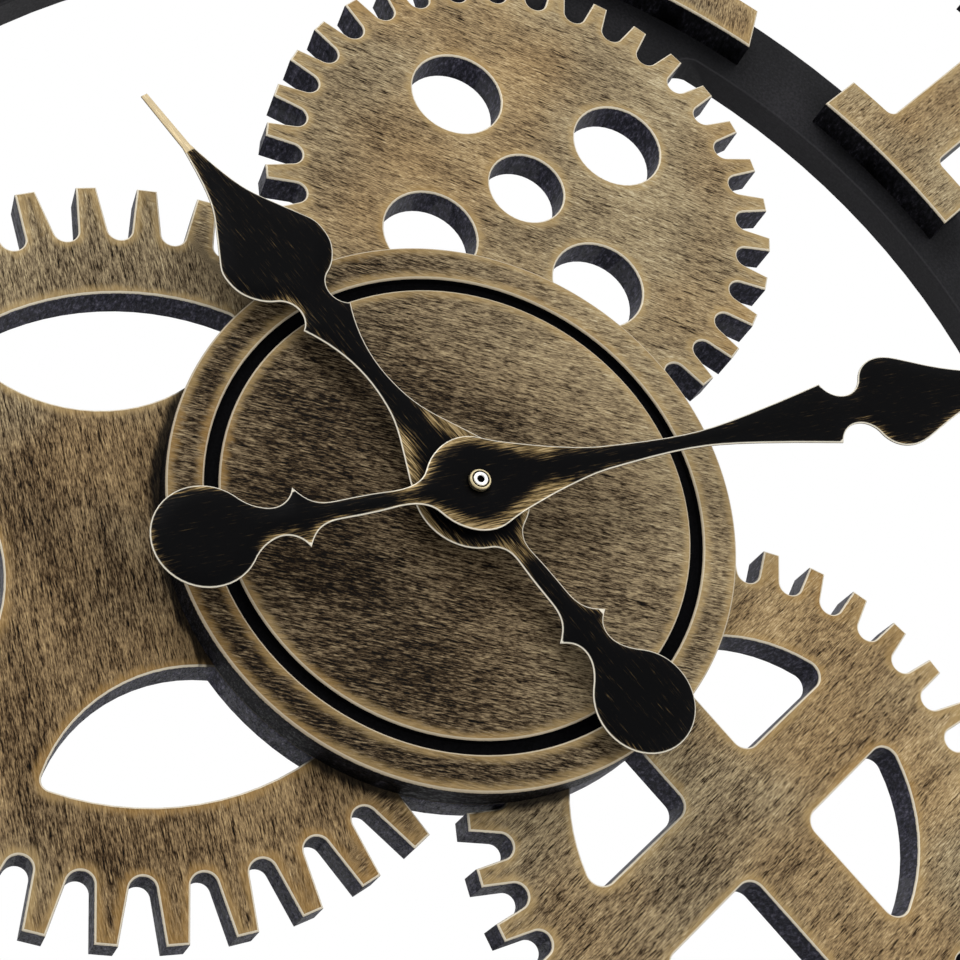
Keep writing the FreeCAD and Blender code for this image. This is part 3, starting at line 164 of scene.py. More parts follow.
def inside(points, loops):
    """Which points lie in the material that the loops bound, by crossings."""
    result = np.zeros(len(points), bool)
    for loop in loops:
        start, end = loop, np.roll(loop, -1, axis=0)
        for first in range(0, len(points), POINTS_AT_ONCE):
            some = slice(first, first + POINTS_AT_ONCE)
            px = points[some, 0:1]
            pz = points[some, 1:2]
            spans = (start[:, 1] > pz) != (end[:, 1] > pz)
            rise = end[:, 1] - start[:, 1]
            rise = np.where(np.abs(rise) < TINY, TINY, rise)
            cross = start[:, 0] + (pz - start[:, 1]) * (end[:, 0] - start[:, 0]) / rise
            result[some] ^= (np.sum(spans & (px < cross), axis=1) % 2).astype(bool)
    return result


def inset(loop, distance):
    """The outline moved into the material on its left."""
    before = loop - np.roll(loop, 1, axis=0)
    after = np.roll(loop, -1, axis=0) - loop
    before = before / np.linalg.norm(before, axis=1)[:, None]
    after = after / np.linalg.norm(after, axis=1)[:, None]
    normal = np.stack([-(before[:, 1] + after[:, 1]), before[:, 0] + after[:, 0]], axis=1)
    length = np.maximum(np.linalg.norm(normal, axis=1), SHORTEST_NORMAL)
    return loop + normal * (2 * distance / length ** 2)[:, None]


def front_loops(mesh, front, spacing):
    """Takes the front face off a mesh and divides its long edges.

    The outlines are returned as lists of the vertices left behind.
    """
    flat = [face for face in mesh.faces
            if all(abs(vert.co.y - front) < FLAT_TOLERANCE for vert in face.verts)]
    flat_set = set(flat)
    rim = [edge for edge in mesh.edges
           if sum(face in flat_set for face in edge.link_faces) == 1]
    bmesh.ops.delete(mesh, geom=flat, context="FACES")
    for cuts in range(1, MOST_CUTS):
        group = [edge for edge in rim if edge.is_valid
                 and int(edge.calc_length() / spacing) == cuts]
        if group:
            bmesh.ops.subdivide_edges(mesh, edges=group, cuts=cuts)
    border = [edge for edge in mesh.edges if edge.is_boundary
              and all(abs(vert.co.y - front) < FLAT_TOLERANCE for vert in edge.verts)]
    following = {}
    for edge in border:
        loop = edge.link_loops[0]
        # the wall's face runs against the front face, so the outline runs from the loop's next vertex
        following[loop.link_loop_next.vert] = loop.vert
    loops = []
    while following:
        start, vert = following.popitem()
        chain = [start]
        while vert is not start:
            chain.append(vert)
            vert = following.pop(vert)
        loops.append(chain)
    return loops


def grid_points(loops, spacing, margin):
    """Points of a triangular grid in the material, at least a margin from its outlines."""
    every = np.concatenate(loops)
    low, high = every.min(axis=0), every.max(axis=0)
    rows = np.arange(low[1], high[1], spacing * math.sqrt(0.75))
    points = []
    for number, z in enumerate(rows):
        x = np.arange(low[0] + (number % 2) * spacing / 2, high[0], spacing)
        points.append(np.stack([x, np.full(len(x), z)], axis=1))
    points = np.concatenate(points)
    points = points[inside(points, loops)]
    tree = tree_of(loops)
    keep = [tree.find((x, z, 0))[2] > margin for x, z in points]
    return points[np.array(keep, bool)]


def tree_of(loops):
    """Search tree of points that lie close together along the outlines."""
    places = []
    for loop in loops:
        for start, end in zip(loop, np.roll(loop, -1, axis=0)):
            steps = max(1, int(np.linalg.norm(end - start) / OUTLINE_STEP))
            for step in range(steps):
                places.append(start + (end - start) * step / steps)
    tree = kdtree.KDTree(len(places))
    for number, (x, z) in enumerate(places):
        tree.insert((x, z, 0), number)
    tree.balance()
    return tree


def sides_of(face):
    """The three sides of a triangle, as pairs of its points."""
    return [frozenset((face[n], face[n - 1])) for n in range(3)]


def triangles(loops, extra):
    """Triangles of the material between outlines, with extra points inside.

    Triangles that hang on to a straight stretch of an outline from outside are left out: they have
    a side that is neither shared nor on the outline.
    """
    points = [Vector(point) for loop in loops for point in loop]
    edges = []
    start = 0
    for loop in loops:
        edges += [(start + n, start + (n + 1) % len(loop)) for n in range(len(loop))]
        start += len(loop)
    points += [Vector(point) for point in extra]
    verts, _, faces, origin, _, _ = geometry.delaunay_2d_cdt(points, edges, [], 0, CLOSE)
    centres = np.array([sum((verts[n] for n in face), Vector((0, 0))) / 3 for face in faces])
    solid = inside(centres, loops)
    source = [ids[0] if ids else None for ids in origin]
    made = [tuple(source[n] for n in face) for face, good in zip(faces, solid)
            if good and all(source[n] is not None for n in face)]
    outline = {frozenset(edge) for edge in edges}
    while True:
        uses = Counter(side for face in made for side in sides_of(face))
        kept = [face for face in made
                if all(uses[side] > 1 or side in outline for side in sides_of(face))]
        if len(kept) == len(made):
            return kept
        made = kept


def at_seam(face, seams):
    """True for an end face of one of a ring's equal arcs."""
    x, _, z = face.calc_center_median()
    turn = math.atan2(z, x) / (2 * math.pi) * seams
    normal = face.normal
    sideways = abs(normal.x * x + normal.z * z) < SEAM_SLANT and abs(normal.y) < SEAM_TILT
    return sideways and abs(turn - round(turn)) < SEAM_TURN


def add_piece(name, mesh, materials, body):
    """Turns a bmesh into a smooth piece with sharp corners, which rides on a body."""
    data = bpy.data.meshes.new(name)
    mesh.to_mesh(data)
    mesh.free()
    for material in materials:
        data.materials.append(material)
    data.polygons.foreach_set("use_smooth", [True] * len(data.polygons))
    data.set_sharp_from_angle(angle=SHARP_ANGLE)
    piece = bpy.data.objects.new(name, data)
    bpy.context.scene.collection.objects.link(piece)
    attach(piece, body)
    return piece


def dress(node, body, materials, front_depth, bevel, spacing, rise=0.0, brush=0.0, pick=None,
          seams=0, spread=0.0):
    """Stands for a flat piece: its node's own walls and back, a rounded rim and a dense front face.

    The top of the walls is pressed down to make room for the rounded rim. The face rises by an
    amount from its rim to its middle. The points know their distance from an edge and from the
    dial's middle, how far below the rim they lie and the angle that their paint was brushed at,
    which brush gives as a number or by the place. Pick gives a face's material by its place. Seams
    is the number of equal arcs whose joints are closed. Spread is the radius that the points of an
    outer outline are moved out to.
    """
    front = -front_depth
    mesh = bmesh.new()
    mesh.from_mesh(nodes[node].data)
    if seams:
        ends = [face for face in mesh.faces if at_seam(face, seams)]
        bmesh.ops.delete(mesh, geom=ends, context="FACES")
    bmesh.ops.remove_doubles(mesh, verts=mesh.verts, dist=WELD)
    edge_layer = mesh.verts.layers.float.new("edge")
    below_layer = mesh.verts.layers.float.new("below")
    reach_layer = mesh.verts.layers.float.new("reach")
    brush_layer = mesh.verts.layers.float.new("brush")
    chains = front_loops(mesh, front, spacing)
    for chain in chains:
        for vert in chain:
            radius = math.hypot(vert.co.x, vert.co.z)
            if spread and radius > GROOVE_LIMIT:
                vert.co.x *= spread / radius
                vert.co.z *= spread / radius
    outlines = [np.array([(vert.co.x, vert.co.z) for vert in chain]) for chain in chains]
    tree = tree_of(outlines)
    cap_loops = []
    cap_verts = []
    rim_front = front + rise
    drop = rim_front + bevel - front
    for vert in mesh.verts:
        depth = max(vert.co.y - front, 0.0)
        if depth < WALL_TOP:
            vert.co.y = front + drop + depth * (1 - drop / WALL_TOP)
    for chain, outline in zip(chains, outlines):
        ring = chain
        for step in range(1, BEVEL_STEPS + 1):
            turn = math.pi / 2 * step / BEVEL_STEPS
            moved = inset(outline, bevel * (1 - math.cos(turn)))
            depth = rim_front + bevel * (1 - math.sin(turn))
            new_ring = [mesh.verts.new((x, depth, z)) for x, z in moved]
            for n, vert in enumerate(ring):
                after = (n + 1) % len(ring)
                mesh.faces.new((vert, ring[after], new_ring[after], new_ring[n]))
            ring = new_ring
        cap_loops.append(moved)
        cap_verts += ring
    extra = grid_points(cap_loops, spacing, spacing * GRID_MARGIN)
    for x, z in extra:
        cap_verts.append(mesh.verts.new((x, rim_front, z)))
    for vert in mesh.verts:
        vert[below_layer] = max(vert.co.y - rim_front, 0.0)
        vert[reach_layer] = math.hypot(vert.co.x, vert.co.z)
    for vert in cap_verts:
        edge = tree.find((vert.co.x, vert.co.z, 0))[2]
        vert[edge_layer] = edge
        slope = min(edge / HAND_SHOULDER, 1.0)
        vert.co.y = rim_front - rise * slope * (2 - slope)
    for face in triangles(cap_loops, extra):
        mesh.faces.new([cap_verts[n] for n in face])
    for vert in mesh.verts:
        vert[brush_layer] = brush(vert.co) if callable(brush) else brush
    if pick:
        for face in mesh.faces:
            face.material_index = pick(face.calc_center_median())
    piece = add_piece(node + "_painted", mesh, materials, body)
    weighted = piece.modifiers.new("weighted", "WEIGHTED_NORMAL")
    weighted.keep_sharp = True
    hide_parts(node)


def lathe(name, body, materials, profile):
    """A turned piece about the axis of the hands.

    The profile is a list of radii and depths, each with the material of the stretch after it.
    """
    mesh = bmesh.new()
    rings = []
    for radius, depth, _ in profile:
        ring = []
        for n in range(LATHE_SIDES):
            turn = 2 * math.pi * n / LATHE_SIDES
            ring.append(mesh.verts.new((radius * math.cos(turn), -depth, radius * math.sin(turn))))
        rings.append(ring)
    for ring, next_ring, (_, _, material) in zip(rings, rings[1:] + rings[:1], profile):
        for n in range(LATHE_SIDES):
            after = (n + 1) % LATHE_SIDES
            face = mesh.faces.new((ring[n], ring[after], next_ring[after], next_ring[n]))
            face.material_index = material
    bmesh.ops.recalc_face_normals(mesh, faces=mesh.faces)
    return add_piece(name, mesh, materials, body)


def colour(text):
    """The linear colour of a hex text of sRGB values."""
    parts = [int(text[n:n + 2], 16) / 255 for n in (0, 2, 4)]
    return tuple(c / 12.92 if c <= 0.04045 else ((c + 0.055) / 1.055) ** 2.4 for c in parts) + (1.0,)


def even(size):
    """One size along all three axes."""
    return (size, size, size)


class Surface:
    """A material whose nodes are added one after the other."""

    def __init__(self, name):
        self.material = bpy.data.materials.new(name)
        self.material.use_nodes = True
        self.tree = self.material.node_tree
        self.shader = self.tree.nodes["Principled BSDF"]

    def add(self, kind, **settings):
        """A new node with its settings."""
        node = self.tree.nodes.new(kind)
        for key, value in settings.items():
            setattr(node, key, value)
        return node

    def feed(self, socket, value):
        """Links a socket to another, or sets its value."""
        if hasattr(value, "is_linked"):
            self.tree.links.new(value, socket)
        else:
            socket.default_value = value

    def place(self):
        """Places in the clock's own frame."""
        return self.add("ShaderNodeTexCoord").outputs["Object"]

    def attribute(self, name):
        """What the points of a painted piece know by this name."""
        return self.add("ShaderNodeAttribute", attribute_name=name).outputs["Fac"]

    def turned(self, vector, angle):
        """A vector turned about the axis of the hands."""
        node = self.add("ShaderNodeVectorRotate", rotation_type="Y_AXIS")
        self.feed(node.inputs["Vector"], vector)
        self.feed(node.inputs["Angle"], angle)
        return node.outputs["Vector"]

    def noise(self, vector, size, detail=2.0, roughness=0.5, shift=0.0):
        """Noise whose features have a size along X, Y and Z."""
        mapping = self.add("ShaderNodeMapping")
        self.feed(mapping.inputs["Vector"], vector)
        self.feed(mapping.inputs["Scale"], tuple(1 / length for length in size))
        self.feed(mapping.inputs["Location"], (shift, shift, shift))
        node = self.add("ShaderNodeTexNoise")
        self.feed(node.inputs["Vector"], mapping.outputs["Vector"])
        self.feed(node.inputs["Scale"], 1.0)
        self.feed(node.inputs["Detail"], detail)
        self.feed(node.inputs["Roughness"], roughness)
        return node.outputs["Fac"]

    def along(self, vector, direction):
        """How far a place lies along a direction."""
        node = self.add("ShaderNodeVectorMath", operation="DOT_PRODUCT")
        self.feed(node.inputs[0], vector)
        self.feed(node.inputs[1], direction)
        return node.outputs["Value"]

    def math(self, operation, *values):
        """A sum or another operation on single values."""
        node = self.add("ShaderNodeMath", operation=operation)
        for socket, value in zip(node.inputs, values):
            self.feed(socket, value)
        return node.outputs["Value"]

    def between(self, value, low, high, out_low=0.0, out_high=1.0):
        """A smooth step of a value between two limits."""
        node = self.add("ShaderNodeMapRange", interpolation_type="SMOOTHSTEP")
        self.feed(node.inputs["Value"], value)
        self.feed(node.inputs["From Min"], low)
        self.feed(node.inputs["From Max"], high)
        self.feed(node.inputs["To Min"], out_low)
        self.feed(node.inputs["To Max"], out_high)
        return node.outputs["Result"]

    def ramp(self, value, stops):
        """A colour that goes through stops, which have a position and a hex text."""
        node = self.add("ShaderNodeValToRGB")
        self.feed(node.inputs["Fac"], value)
        while len(node.color_ramp.elements) < len(stops):
            node.color_ramp.elements.new(0.5)
        for element, (position, text) in zip(node.color_ramp.elements, stops):
            element.position = position
            element.color = colour(text)
        return node.outputs["Color"]

    def mix(self, factor, first, second, blend="MIX"):
        """A mix of two colours, each a socket or a hex text."""
        node = self.add("ShaderNodeMix", data_type="RGBA", blend_type=blend)
        self.feed(node.inputs["Factor"], factor)
        self.feed(node.inputs["A"], colour(first) if isinstance(first, str) else first)
        self.feed(node.inputs["B"], colour(second) if isinstance(second, str) else second)
        return node.outputs["Result"]

    def bump(self, height, distance, strength):
        """Gives the surface small heights, at most a distance high."""
        node = self.add("ShaderNodeBump")
        self.feed(node.inputs["Height"], height)
        self.feed(node.inputs["Distance"], distance)
        self.feed(node.inputs["Strength"], strength)
        self.feed(self.shader.inputs["Normal"], node.outputs["Normal"])

    def set(self, **values):
        """Sets or links inputs of the shader by short names."""
        names = {"base": "Base Color", "rough": "Roughness", "metal": "Metallic",
                 "level": "Specular IOR Level"}
        for key, value in values.items():
            self.feed(self.shader.inputs[names[key]], value)


def gold_paint(name, lift, painted_light_slant, warm, turned_down, rim, disc_shadow_radius, wall_tones):
    """Black board dry-brushed with antique gold, whose borders are plain and whose walls are dark.

    The lift says how much gold covers the middle of a board, and the slant how much lighter it is
    painted towards the upper right, as painted light. Warm is how much of a warmer tint it takes in
    places. The gold goes over the rim as far as turned_down, and rim is the strength of the painted
    highlight there. Just outside the given radius the board is painted black as the disc's shadow.
    """
    made = Surface(name)
    place = made.place()
    brushed = made.turned(place, made.attribute("brush"))
    fine = made.noise(brushed, (3.0 * MM, 1.1 * MM, 0.36 * MM), detail=4.0, roughness=0.7)
    short = made.noise(brushed, (1.3 * MM, 0.8 * MM, 0.36 * MM), roughness=0.6, shift=7.0)
    middle = made.noise(brushed, (13 * MM, 6 * MM, 2.0 * MM), shift=3.0)
    patch = made.noise(brushed, (44 * MM, 20 * MM, 22 * MM), shift=11.0)
    bare = made.noise(brushed, (6.0 * MM, 1.5 * MM, 0.6 * MM), roughness=0.55, shift=23.0)
    warmth = made.noise(place, even(60 * MM), shift=19.0)
    edge = made.attribute("edge")
    ragged = made.math("MULTIPLY_ADD", made.math("SUBTRACT", middle, 0.5), 4.0 * MM, edge)
    ragged = made.math("MULTIPLY_ADD", made.math("SUBTRACT", short, 0.5), 3.0 * MM, ragged)
    border = made.between(ragged, 0.4 * MM, 3.0 * MM, 1.0, 0.0)
    shore = made.between(edge, 0.0, 26 * MM, 0.07, 0.0)
    # Painted light: the gold is painted lighter towards the upper right, where more light falls.
    painted_light_gradient = made.along(place, PAINTED_LIGHT_DIRECTION)
    painted_light_gradient = made.between(painted_light_gradient, -150 * MM, 150 * MM, -painted_light_slant, painted_light_slant)
    cover = made.math("MULTIPLY_ADD", fine, 1.25, made.math("MULTIPLY", short, 0.6))
    cover = made.math("MULTIPLY_ADD", middle, 0.28, cover)
    cover = made.math("MULTIPLY_ADD", patch, 0.34, cover)
    cover = made.math("ADD", cover, made.math("ADD", shore, lift - NOISE_MEAN))
    cover = made.math("ADD", cover, painted_light_gradient)
    cover = made.math("SUBTRACT", cover, made.between(bare, 0.58, 0.68, 0.0, 0.2))
    cover = made.math("MULTIPLY_ADD", border, 0.10, cover)
    field = made.ramp(cover, [(0.24, "0b0805"), (0.32, "281e13"), (0.41, "4c3f2d"), (0.50, "6d5e48"),
                              (0.58, "86765b"), (0.68, "9e8c6b"), (0.80, "b5a47f"), (0.94, "d2c5a6")])
    field = made.mix(made.between(warmth, 0.4, 0.64, 0.0, warm), field, "ffe6c4", "MULTIPLY")
    plain = made.mix(made.between(warmth, 0.5, 0.68), "ab9162", "9a7844")
    field = made.mix(made.math("MULTIPLY", border, 0.68), field, plain)
    # Painted highlight: a near-white line right along every edge.
    highlight = made.between(edge, 0.1 * MM, 0.42 * MM, rim, 0.0)
    field = made.mix(highlight, field, "f0e6cf")
    # Painted shadow: a soft black band on the board just outside the disc's rim, where the disc casts
    # its shadow.
    waver = made.math("SUBTRACT", middle, 0.5)
    disc_shadow = made.math("MULTIPLY_ADD", waver, 5.0 * MM, made.attribute("reach"))
    disc_shadow = made.between(disc_shadow, disc_shadow_radius + 1.2 * MM, disc_shadow_radius + 3.4 * MM, 0.92, 0.0)
    field = made.mix(disc_shadow, field, "0b0907")
    grain = made.noise(place, (0.9 * MM, 2.4 * MM, 0.9 * MM), detail=4.0, roughness=0.7, shift=5.0)
    side = made.ramp(grain, list(zip((0.36, 0.50, 0.61, 0.74), wall_tones)))
    waver = made.math("SUBTRACT", grain, 0.5)
    below = made.math("MULTIPLY_ADD", waver, turned_down, made.attribute("below"))
    wall = made.between(below, 0.6 * turned_down, turned_down)
    made.set(base=made.mix(wall, field, side), rough=made.between(cover, 0.4, 0.7, 0.8, 0.5),
             metal=made.between(cover, 0.55, 0.8, 0.0, 0.22), level=0.08)
    made.bump(cover, 0.1 * MM, 0.5)
    return made.material


def charcoal_paint():
    """Matt charcoal with a faint roller grain, painted a little paler along its edges as a highlight.
    """
    made = Surface("charcoal")
    place = made.place()
    grain = made.noise(place, even(0.9 * MM), detail=4.0, roughness=0.6)
    cloud = made.noise(place, even(26 * MM), detail=3.0, shift=2.0)
    tone = made.math("MULTIPLY_ADD", cloud, 0.5, made.math("MULTIPLY", grain, 0.5))
    base = made.ramp(tone, [(0.35, "101012"), (0.5, "19191b"), (0.68, "29282b")])
    # Painted highlight: paler grey right along the edges.
    rub = made.between(made.attribute("edge"), 0.1 * MM, 1.0 * MM, 0.3, 0.0)
    base = made.mix(rub, base, "464547")
    made.set(base=base, rough=made.between(grain, 0.3, 0.7, 0.68, 0.55), level=0.12)
    made.bump(grain, 0.1 * MM, 0.35)
    return made.material


def groove_paint():
    """Dull black with a fine grain."""
    made = Surface("groove_black")
    grain = made.noise(made.place(), even(0.8 * MM), detail=3.0, roughness=0.6)
    made.set(base=made.ramp(grain, [(0.35, "030304"), (0.7, "0c0c0e")]), rough=0.8, level=0.05)
    made.bump(grain, 0.08 * MM, 0.3)
    return made.material


def hand_lacquer(name, needle_start):
    """Black lacquer on pressed sheet, rubbed through to gold along its rim and round its hub, with a
    painted highlight as a near-white line right at the rim.

    The needle, from a distance from the dial's middle, is all pale gold.
    """
    made = Surface(name)
    brushed = made.turned(made.place(), made.attribute("brush"))
    streak = made.noise(brushed, (6 * MM, 1.5 * MM, 0.34 * MM), detail=3.0, roughness=0.65)
    wear = made.noise(brushed, (34 * MM, 20 * MM, 15 * MM), detail=1.0, shift=9.0)
    edge = made.attribute("edge")
    reach = made.attribute("reach")
    hub = made.between(reach, 20 * MM, 27 * MM, 2.4 * MM, 0.0)
    worn = made.math("MULTIPLY_ADD", made.math("SUBTRACT", 0.5, wear), 9.0 * MM, edge)
    worn = made.between(made.math("SUBTRACT", worn, hub), -2.2 * MM, 2.6 * MM, 1.0, 0.0)
    worn = made.math("MULTIPLY", worn, made.between(reach, 6 * MM, 9 * MM))
    rub = made.math("MULTIPLY_ADD", worn, 0.32, made.math("SUBTRACT", streak, 0.24))
    base = made.ramp(rub, [(0.37, "020203"), (0.46, "2e2519"), (0.57, "77633f"), (0.72, "b8a176")])
    # Painted highlight: a near-white line right at the rim, where the lacquer is worn to bare metal.
    rim = made.between(edge, 0.1 * MM, 0.42 * MM, 0.97, 0.0)
    base = made.mix(rim, base, "f8f0dc")
    needle = made.between(reach, needle_start, needle_start + 0.5 * MM)
    base = made.mix(needle, base, "d8c49c")
    wall = made.between(made.attribute("below"), HAND_BEVEL, 2 * HAND_BEVEL)
    wall_tone = made.mix(needle, "3d3527", "5c4c31")
    made.set(base=made.mix(wall, base, wall_tone), rough=made.between(streak, 0.3, 0.7, 0.55, 0.4),
             metal=made.between(rub, 0.45, 0.65, 0.0, 0.4), level=0.04)
    made.bump(streak, 0.06 * MM, 0.35)
    return made.material


def plain_metal(name, low, high, rough, stretch, shade_from=FAR):
    """Bare metal with fine working marks, whose sizes are given along each axis.

    Where it lies farther from the wall than the given depth it is painted near-black as shade.
    """
    made = Surface(name)
    place = made.place()
    mark = made.noise(place, stretch, detail=4.0, roughness=0.6)
    base = made.ramp(mark, [(0.3, low), (0.7, high)])
    hole_shade = made.between(made.along(place, FROM_WALL), shade_from, shade_from + 0.2 * MM)
    made.set(base=made.mix(hole_shade, base, "070707"), metal=1.0,
             rough=made.between(mark, 0.3, 0.7, rough * 1.3, rough * 0.8))
    made.bump(mark, 0.02 * MM, 0.3)
    return made.material


def moulded(name, low, high, rough):
    """Moulded or coated stuff with a fine grain."""
    made = Surface(name)
    grain = made.noise(made.place(), even(0.5 * MM), detail=3.0, roughness=0.6)
    cloud = made.noise(made.place(), even(15 * MM), shift=6.0)
    tone = made.math("MULTIPLY_ADD", cloud, 0.5, made.math("MULTIPLY", grain, 0.5))
    made.set(base=made.ramp(tone, [(0.35, low), (0.65, high)]),
             rough=made.between(grain, 0.3, 0.7, rough, rough * 0.8))
    made.bump(grain, 0.04 * MM, 0.3)
    return made.material


disc_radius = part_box("dial_disc")[1][0]
# The gear board takes a painted shadow of the disc just outside the disc's rim.
gear_gold = gold_paint("antique_gold_gears", lift=0.53, painted_light_slant=0.07, warm=0.55, turned_down=0.7 * MM,
                       rim=0.9, disc_shadow_radius=disc_radius, wall_tones=BLUISH_WALLS)
# The numerals and the disc have their walls painted near-black as shade.
numeral_gold = gold_paint("antique_gold_numerals", lift=0.58, painted_light_slant=0.0, warm=0.7,
                          turned_down=0.9 * MM, rim=0.7, disc_shadow_radius=0.0, wall_tones=SHADED_WALLS)
disc_gold = gold_paint("antique_gold_disc", lift=0.425, painted_light_slant=0.17, warm=0.12, turned_down=1.3 * MM,
                       rim=0.5, disc_shadow_radius=0.0, wall_tones=SHADED_WALLS)
charcoal = charcoal_paint()
groove = groove_paint()
hour_lacquer = hand_lacquer("hour_lacquer", HOUR_NEEDLE)
minute_lacquer = hand_lacquer("minute_lacquer", MINUTE_NEEDLE)
nickel = plain_metal("nickel", "b4b3b0", "e4e3df", rough=0.22, stretch=even(0.4 * MM))
bright = plain_metal("bright_nickel", "e6e6e4", "fafaf8", rough=0.4, stretch=even(0.3 * MM))
brass = plain_metal("turned_brass", "8f7136", "c9a75c", rough=0.3, stretch=TURNED)
pale_brass = plain_metal("pale_brass", "c9b687", "ecdfba", rough=0.35, stretch=even(0.3 * MM))
# The shaft's tip inside the nut's hole is painted near-black as shade.
shaft_brass = plain_metal("shaft_brass", "8f7136", "c9a75c", rough=0.3, stretch=TURNED,
                          shade_from=SHAFT_END)
zinc = plain_metal("zinc_plate", "8d9093", "c3c5c6", rough=0.34, stretch=(0.7 * MM, 0.7 * MM, 0.3 * MM))
magnet = plain_metal("ground_magnet", "37373a", "5c5c60", rough=0.4, stretch=even(0.3 * MM))
copper = plain_metal("copper_wire", "8a4a25", "c87d49", rough=0.35,
                     stretch=(1.5 * MM, 1.5 * MM, 0.12 * MM))
black_plastic = moulded("black_plastic", "101011", "1e1e20", rough=0.5)
nylon = moulded("nylon", "d6d2c4", "ebe8dd", rough=0.42)
rubber = moulded("rubber", "121213", "1d1d1e", rough=0.8)
wrap = moulded("battery_wrap", "1c2a36", "2f4454", rough=0.3)
laminate = moulded("laminate", "1d4a2b", "2c683f", rough=0.35)

# The pieces that are shown with the frame's own mesh.
WHOLE = {
    "threaded_bush": brass, "seal_washer": rubber, "brass_washer": brass, "hex_nut": brass,
    "movement_case": black_plastic, "movement_back": black_plastic, "second_wheel": nylon,
    "third_wheel": nylon, "intermediate_wheel": nylon, "rotor_pinion": nylon, "rotor_magnet": magnet,
    "centre_wheel": nylon, "minute_shaft": shaft_brass, "motion_wheel": nylon, "set_knob": nylon,
    "hour_wheel": nylon, "battery": wrap, "contact_minus": zinc, "contact_plus": zinc, "stator": zinc,
    "coil_core": zinc, "coil_bobbin": nylon, "coil_winding": copper, "circuit_board": laminate,
    "quartz_crystal": nickel, "hanger_plate": zinc, "lug_screws": zinc, "disc_screws": zinc,
    "hanger_screws": zinc,
}
for name, material in WHOLE.items():
    data = nodes[name].data
    data.materials.clear()
    data.materials.append(material)


def gear_brush(place):
    """The angle of the gear that a place lies on, by its bearing from the dial's middle."""
    turn = math.degrees(math.atan2(place.z, place.x)) % 360
    if TOP_GEAR_FROM < turn < LEFT_GEAR_FROM:
        return TOP_GEAR_BRUSH
    return LEFT_GEAR_BRUSH if LEFT_GEAR_FROM <= turn < RIGHT_GEAR_FROM else RIGHT_GEAR_BRUSH


def disc_part(place):
    """1 in the disc's groove and 0 elsewhere on it."""
    deep = -DISC_FRONT + GROOVE_TOP < place.y < -GROOVE_BOTTOM
    return 1 if deep and math.hypot(place.x, place.z) < GROOVE_LIMIT else 0


dress("ring_frame", "clock_frame", [charcoal], RING_FRONT, BOARD_BEVEL,
      BOARD_SPACING, seams=RING_ARCS)
dress("gear_board", "clock_frame", [gear_gold], GEAR_FRONT, BOARD_BEVEL,
      BOARD_SPACING, brush=gear_brush)
dress("dial_disc", "clock_frame", [disc_gold, groove], DISC_FRONT, BOARD_BEVEL,
      BOARD_SPACING, brush=DISC_BRUSH, pick=disc_part, spread=disc_radius)
# Each numeral is brushed along its own hour's direction.
for number in range(1, 13):
    dress("numeral_%02d" % number, "clock_frame", [numeral_gold], GEAR_FRONT,
          BOARD_BEVEL, BOARD_SPACING, brush=math.radians(90 - 30 * number))
for name, body, paint, front, angle in (
        ("hour_hand", "hour_body", hour_lacquer, HOUR_FRONT, HOUR_ANGLE),
        ("minute_hand", "minute_body", minute_lacquer, MINUTE_FRONT, MINUTE_ANGLE)):
    dress(name, body, [paint], front, HAND_BEVEL, HAND_SPACING, rise=HAND_RISE,
          brush=angle)

# The nut's gap and hole take the black groove paint as painted shade.
nut = lathe("shaft_nut_turned", "minute_body", [bright, pale_brass, groove],
            [(radius * MM, depth * MM, material) for radius, depth, material in NUT_PROFILE])
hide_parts("shaft_nut")

# The floor lies at the height of the clock's lowest point.
floor_mesh = bpy.data.meshes.new("floor")
half = FLOOR_SIZE / 2
floor_low = cad_bounds[0][2]
floor_mesh.from_pydata([(-half, -half, floor_low), (half, -half, floor_low), (half, half, floor_low),
                        (-half, half, floor_low)], [], [(0, 1, 2, 3)])
floor = bpy.data.objects.new("floor", floor_mesh)
bpy.context.scene.collection.objects.link(floor)
paper = Surface("pale_floor")
speck = paper.noise(paper.place(), even(8 * MM), detail=3.0)
paper.set(base=paper.ramp(speck, [(0.3, "ececea"), (0.7, "f2f2f0")]), rough=0.8)
floor_mesh.materials.append(paper.material)


def seen_rays(tree):
    """1 for rays that the camera sees, by itself or in a reflection or through glass."""
    rays = tree.nodes.new("ShaderNodeLightPath")
    seen = rays.outputs["Is Camera Ray"]
    for kind in ("Is Glossy Ray", "Is Transmission Ray"):
        either = tree.nodes.new("ShaderNodeMath")
        either.operation = "MAXIMUM"
        tree.links.new(seen, either.inputs[0])
        tree.links.new(rays.outputs[kind], either.inputs[1])
        seen = either.outputs["Value"]
    return seen


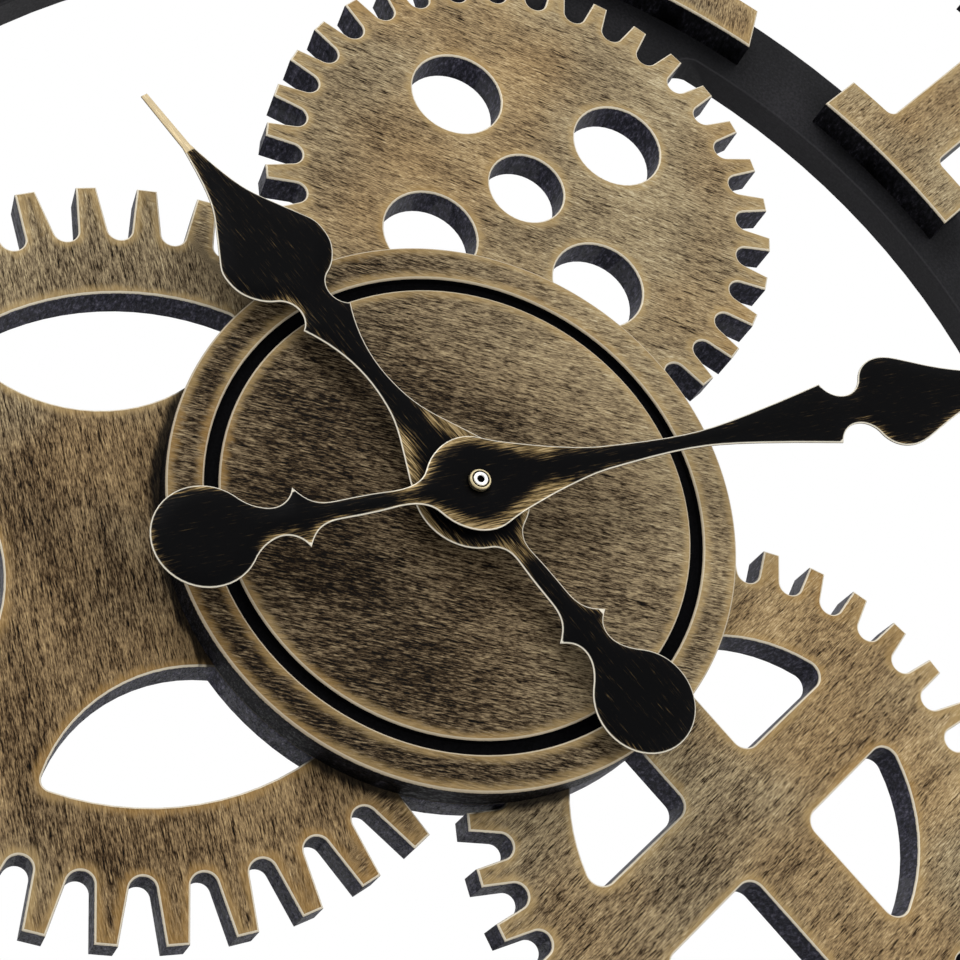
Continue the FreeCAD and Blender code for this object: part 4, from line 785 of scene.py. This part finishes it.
# Rays that the camera sees meet white where the floor is far off.
away = paper.add("ShaderNodeVectorMath", operation="LENGTH")
paper.feed(away.inputs[0], paper.place())
fade = paper.between(away.outputs["Value"], *FLOOR_FADE)
fade = paper.math("MULTIPLY", fade, seen_rays(paper.tree))
glow = paper.add("ShaderNodeEmission")
blend = paper.add("ShaderNodeMixShader")
paper.feed(blend.inputs[0], fade)
paper.feed(blend.inputs[1], paper.shader.outputs[0])
paper.feed(blend.inputs[2], glow.outputs[0])
paper.feed(paper.tree.nodes["Material Output"].inputs["Surface"], blend.outputs[0])

# The sky is grey as a light, and white to the camera and in reflections.
world = bpy.data.worlds.new("studio")
bpy.context.scene.world = world
world.use_nodes = True
tree = world.node_tree
background = tree.nodes["Background"]
background.inputs["Strength"].default_value = 1.0
sky = tree.nodes.new("ShaderNodeMix")
sky.data_type = "RGBA"
sky.inputs["A"].default_value = SKY_LIGHT
sky.inputs["B"].default_value = SKY_SEEN
tree.links.new(seen_rays(tree), sky.inputs["Factor"])
tree.links.new(sky.outputs["Result"], background.inputs["Color"])


def soft_light(name, place, size, power):
    """A square lamp that shines at the dial's middle."""
    lamp = bpy.data.lights.new(name, "AREA")
    lamp.shape = "SQUARE"
    lamp.size = size
    lamp.energy = power
    holder = bpy.data.objects.new(name, lamp)
    holder.location = place
    holder.rotation_euler = (-Vector(place)).to_track_quat("-Z", "Y").to_euler()
    bpy.context.scene.collection.objects.link(holder)


soft_light("key", place=(-0.9, -1.5, 1.3), size=1.0, power=20.5)
soft_light("fill", place=(1.2, -1.4, 0.1), size=1.2, power=8.5)

camera_data = bpy.data.cameras.new("camera")
camera_data.lens = CAMERA_LENS
camera_data.sensor_width = SENSOR
camera_data.clip_start = CAMERA_NEAR
camera = bpy.data.objects.new("camera", camera_data)
axes = Matrix((CAMERA_RIGHT, CAMERA_UP, CAMERA_BACK)).transposed()
camera.matrix_world = Matrix.Translation(CAMERA_PLACE) @ axes.to_4x4()
bpy.context.scene.collection.objects.link(camera)
bpy.context.scene.camera = camera
bpy.context.scene.view_settings.view_transform = "Standard"
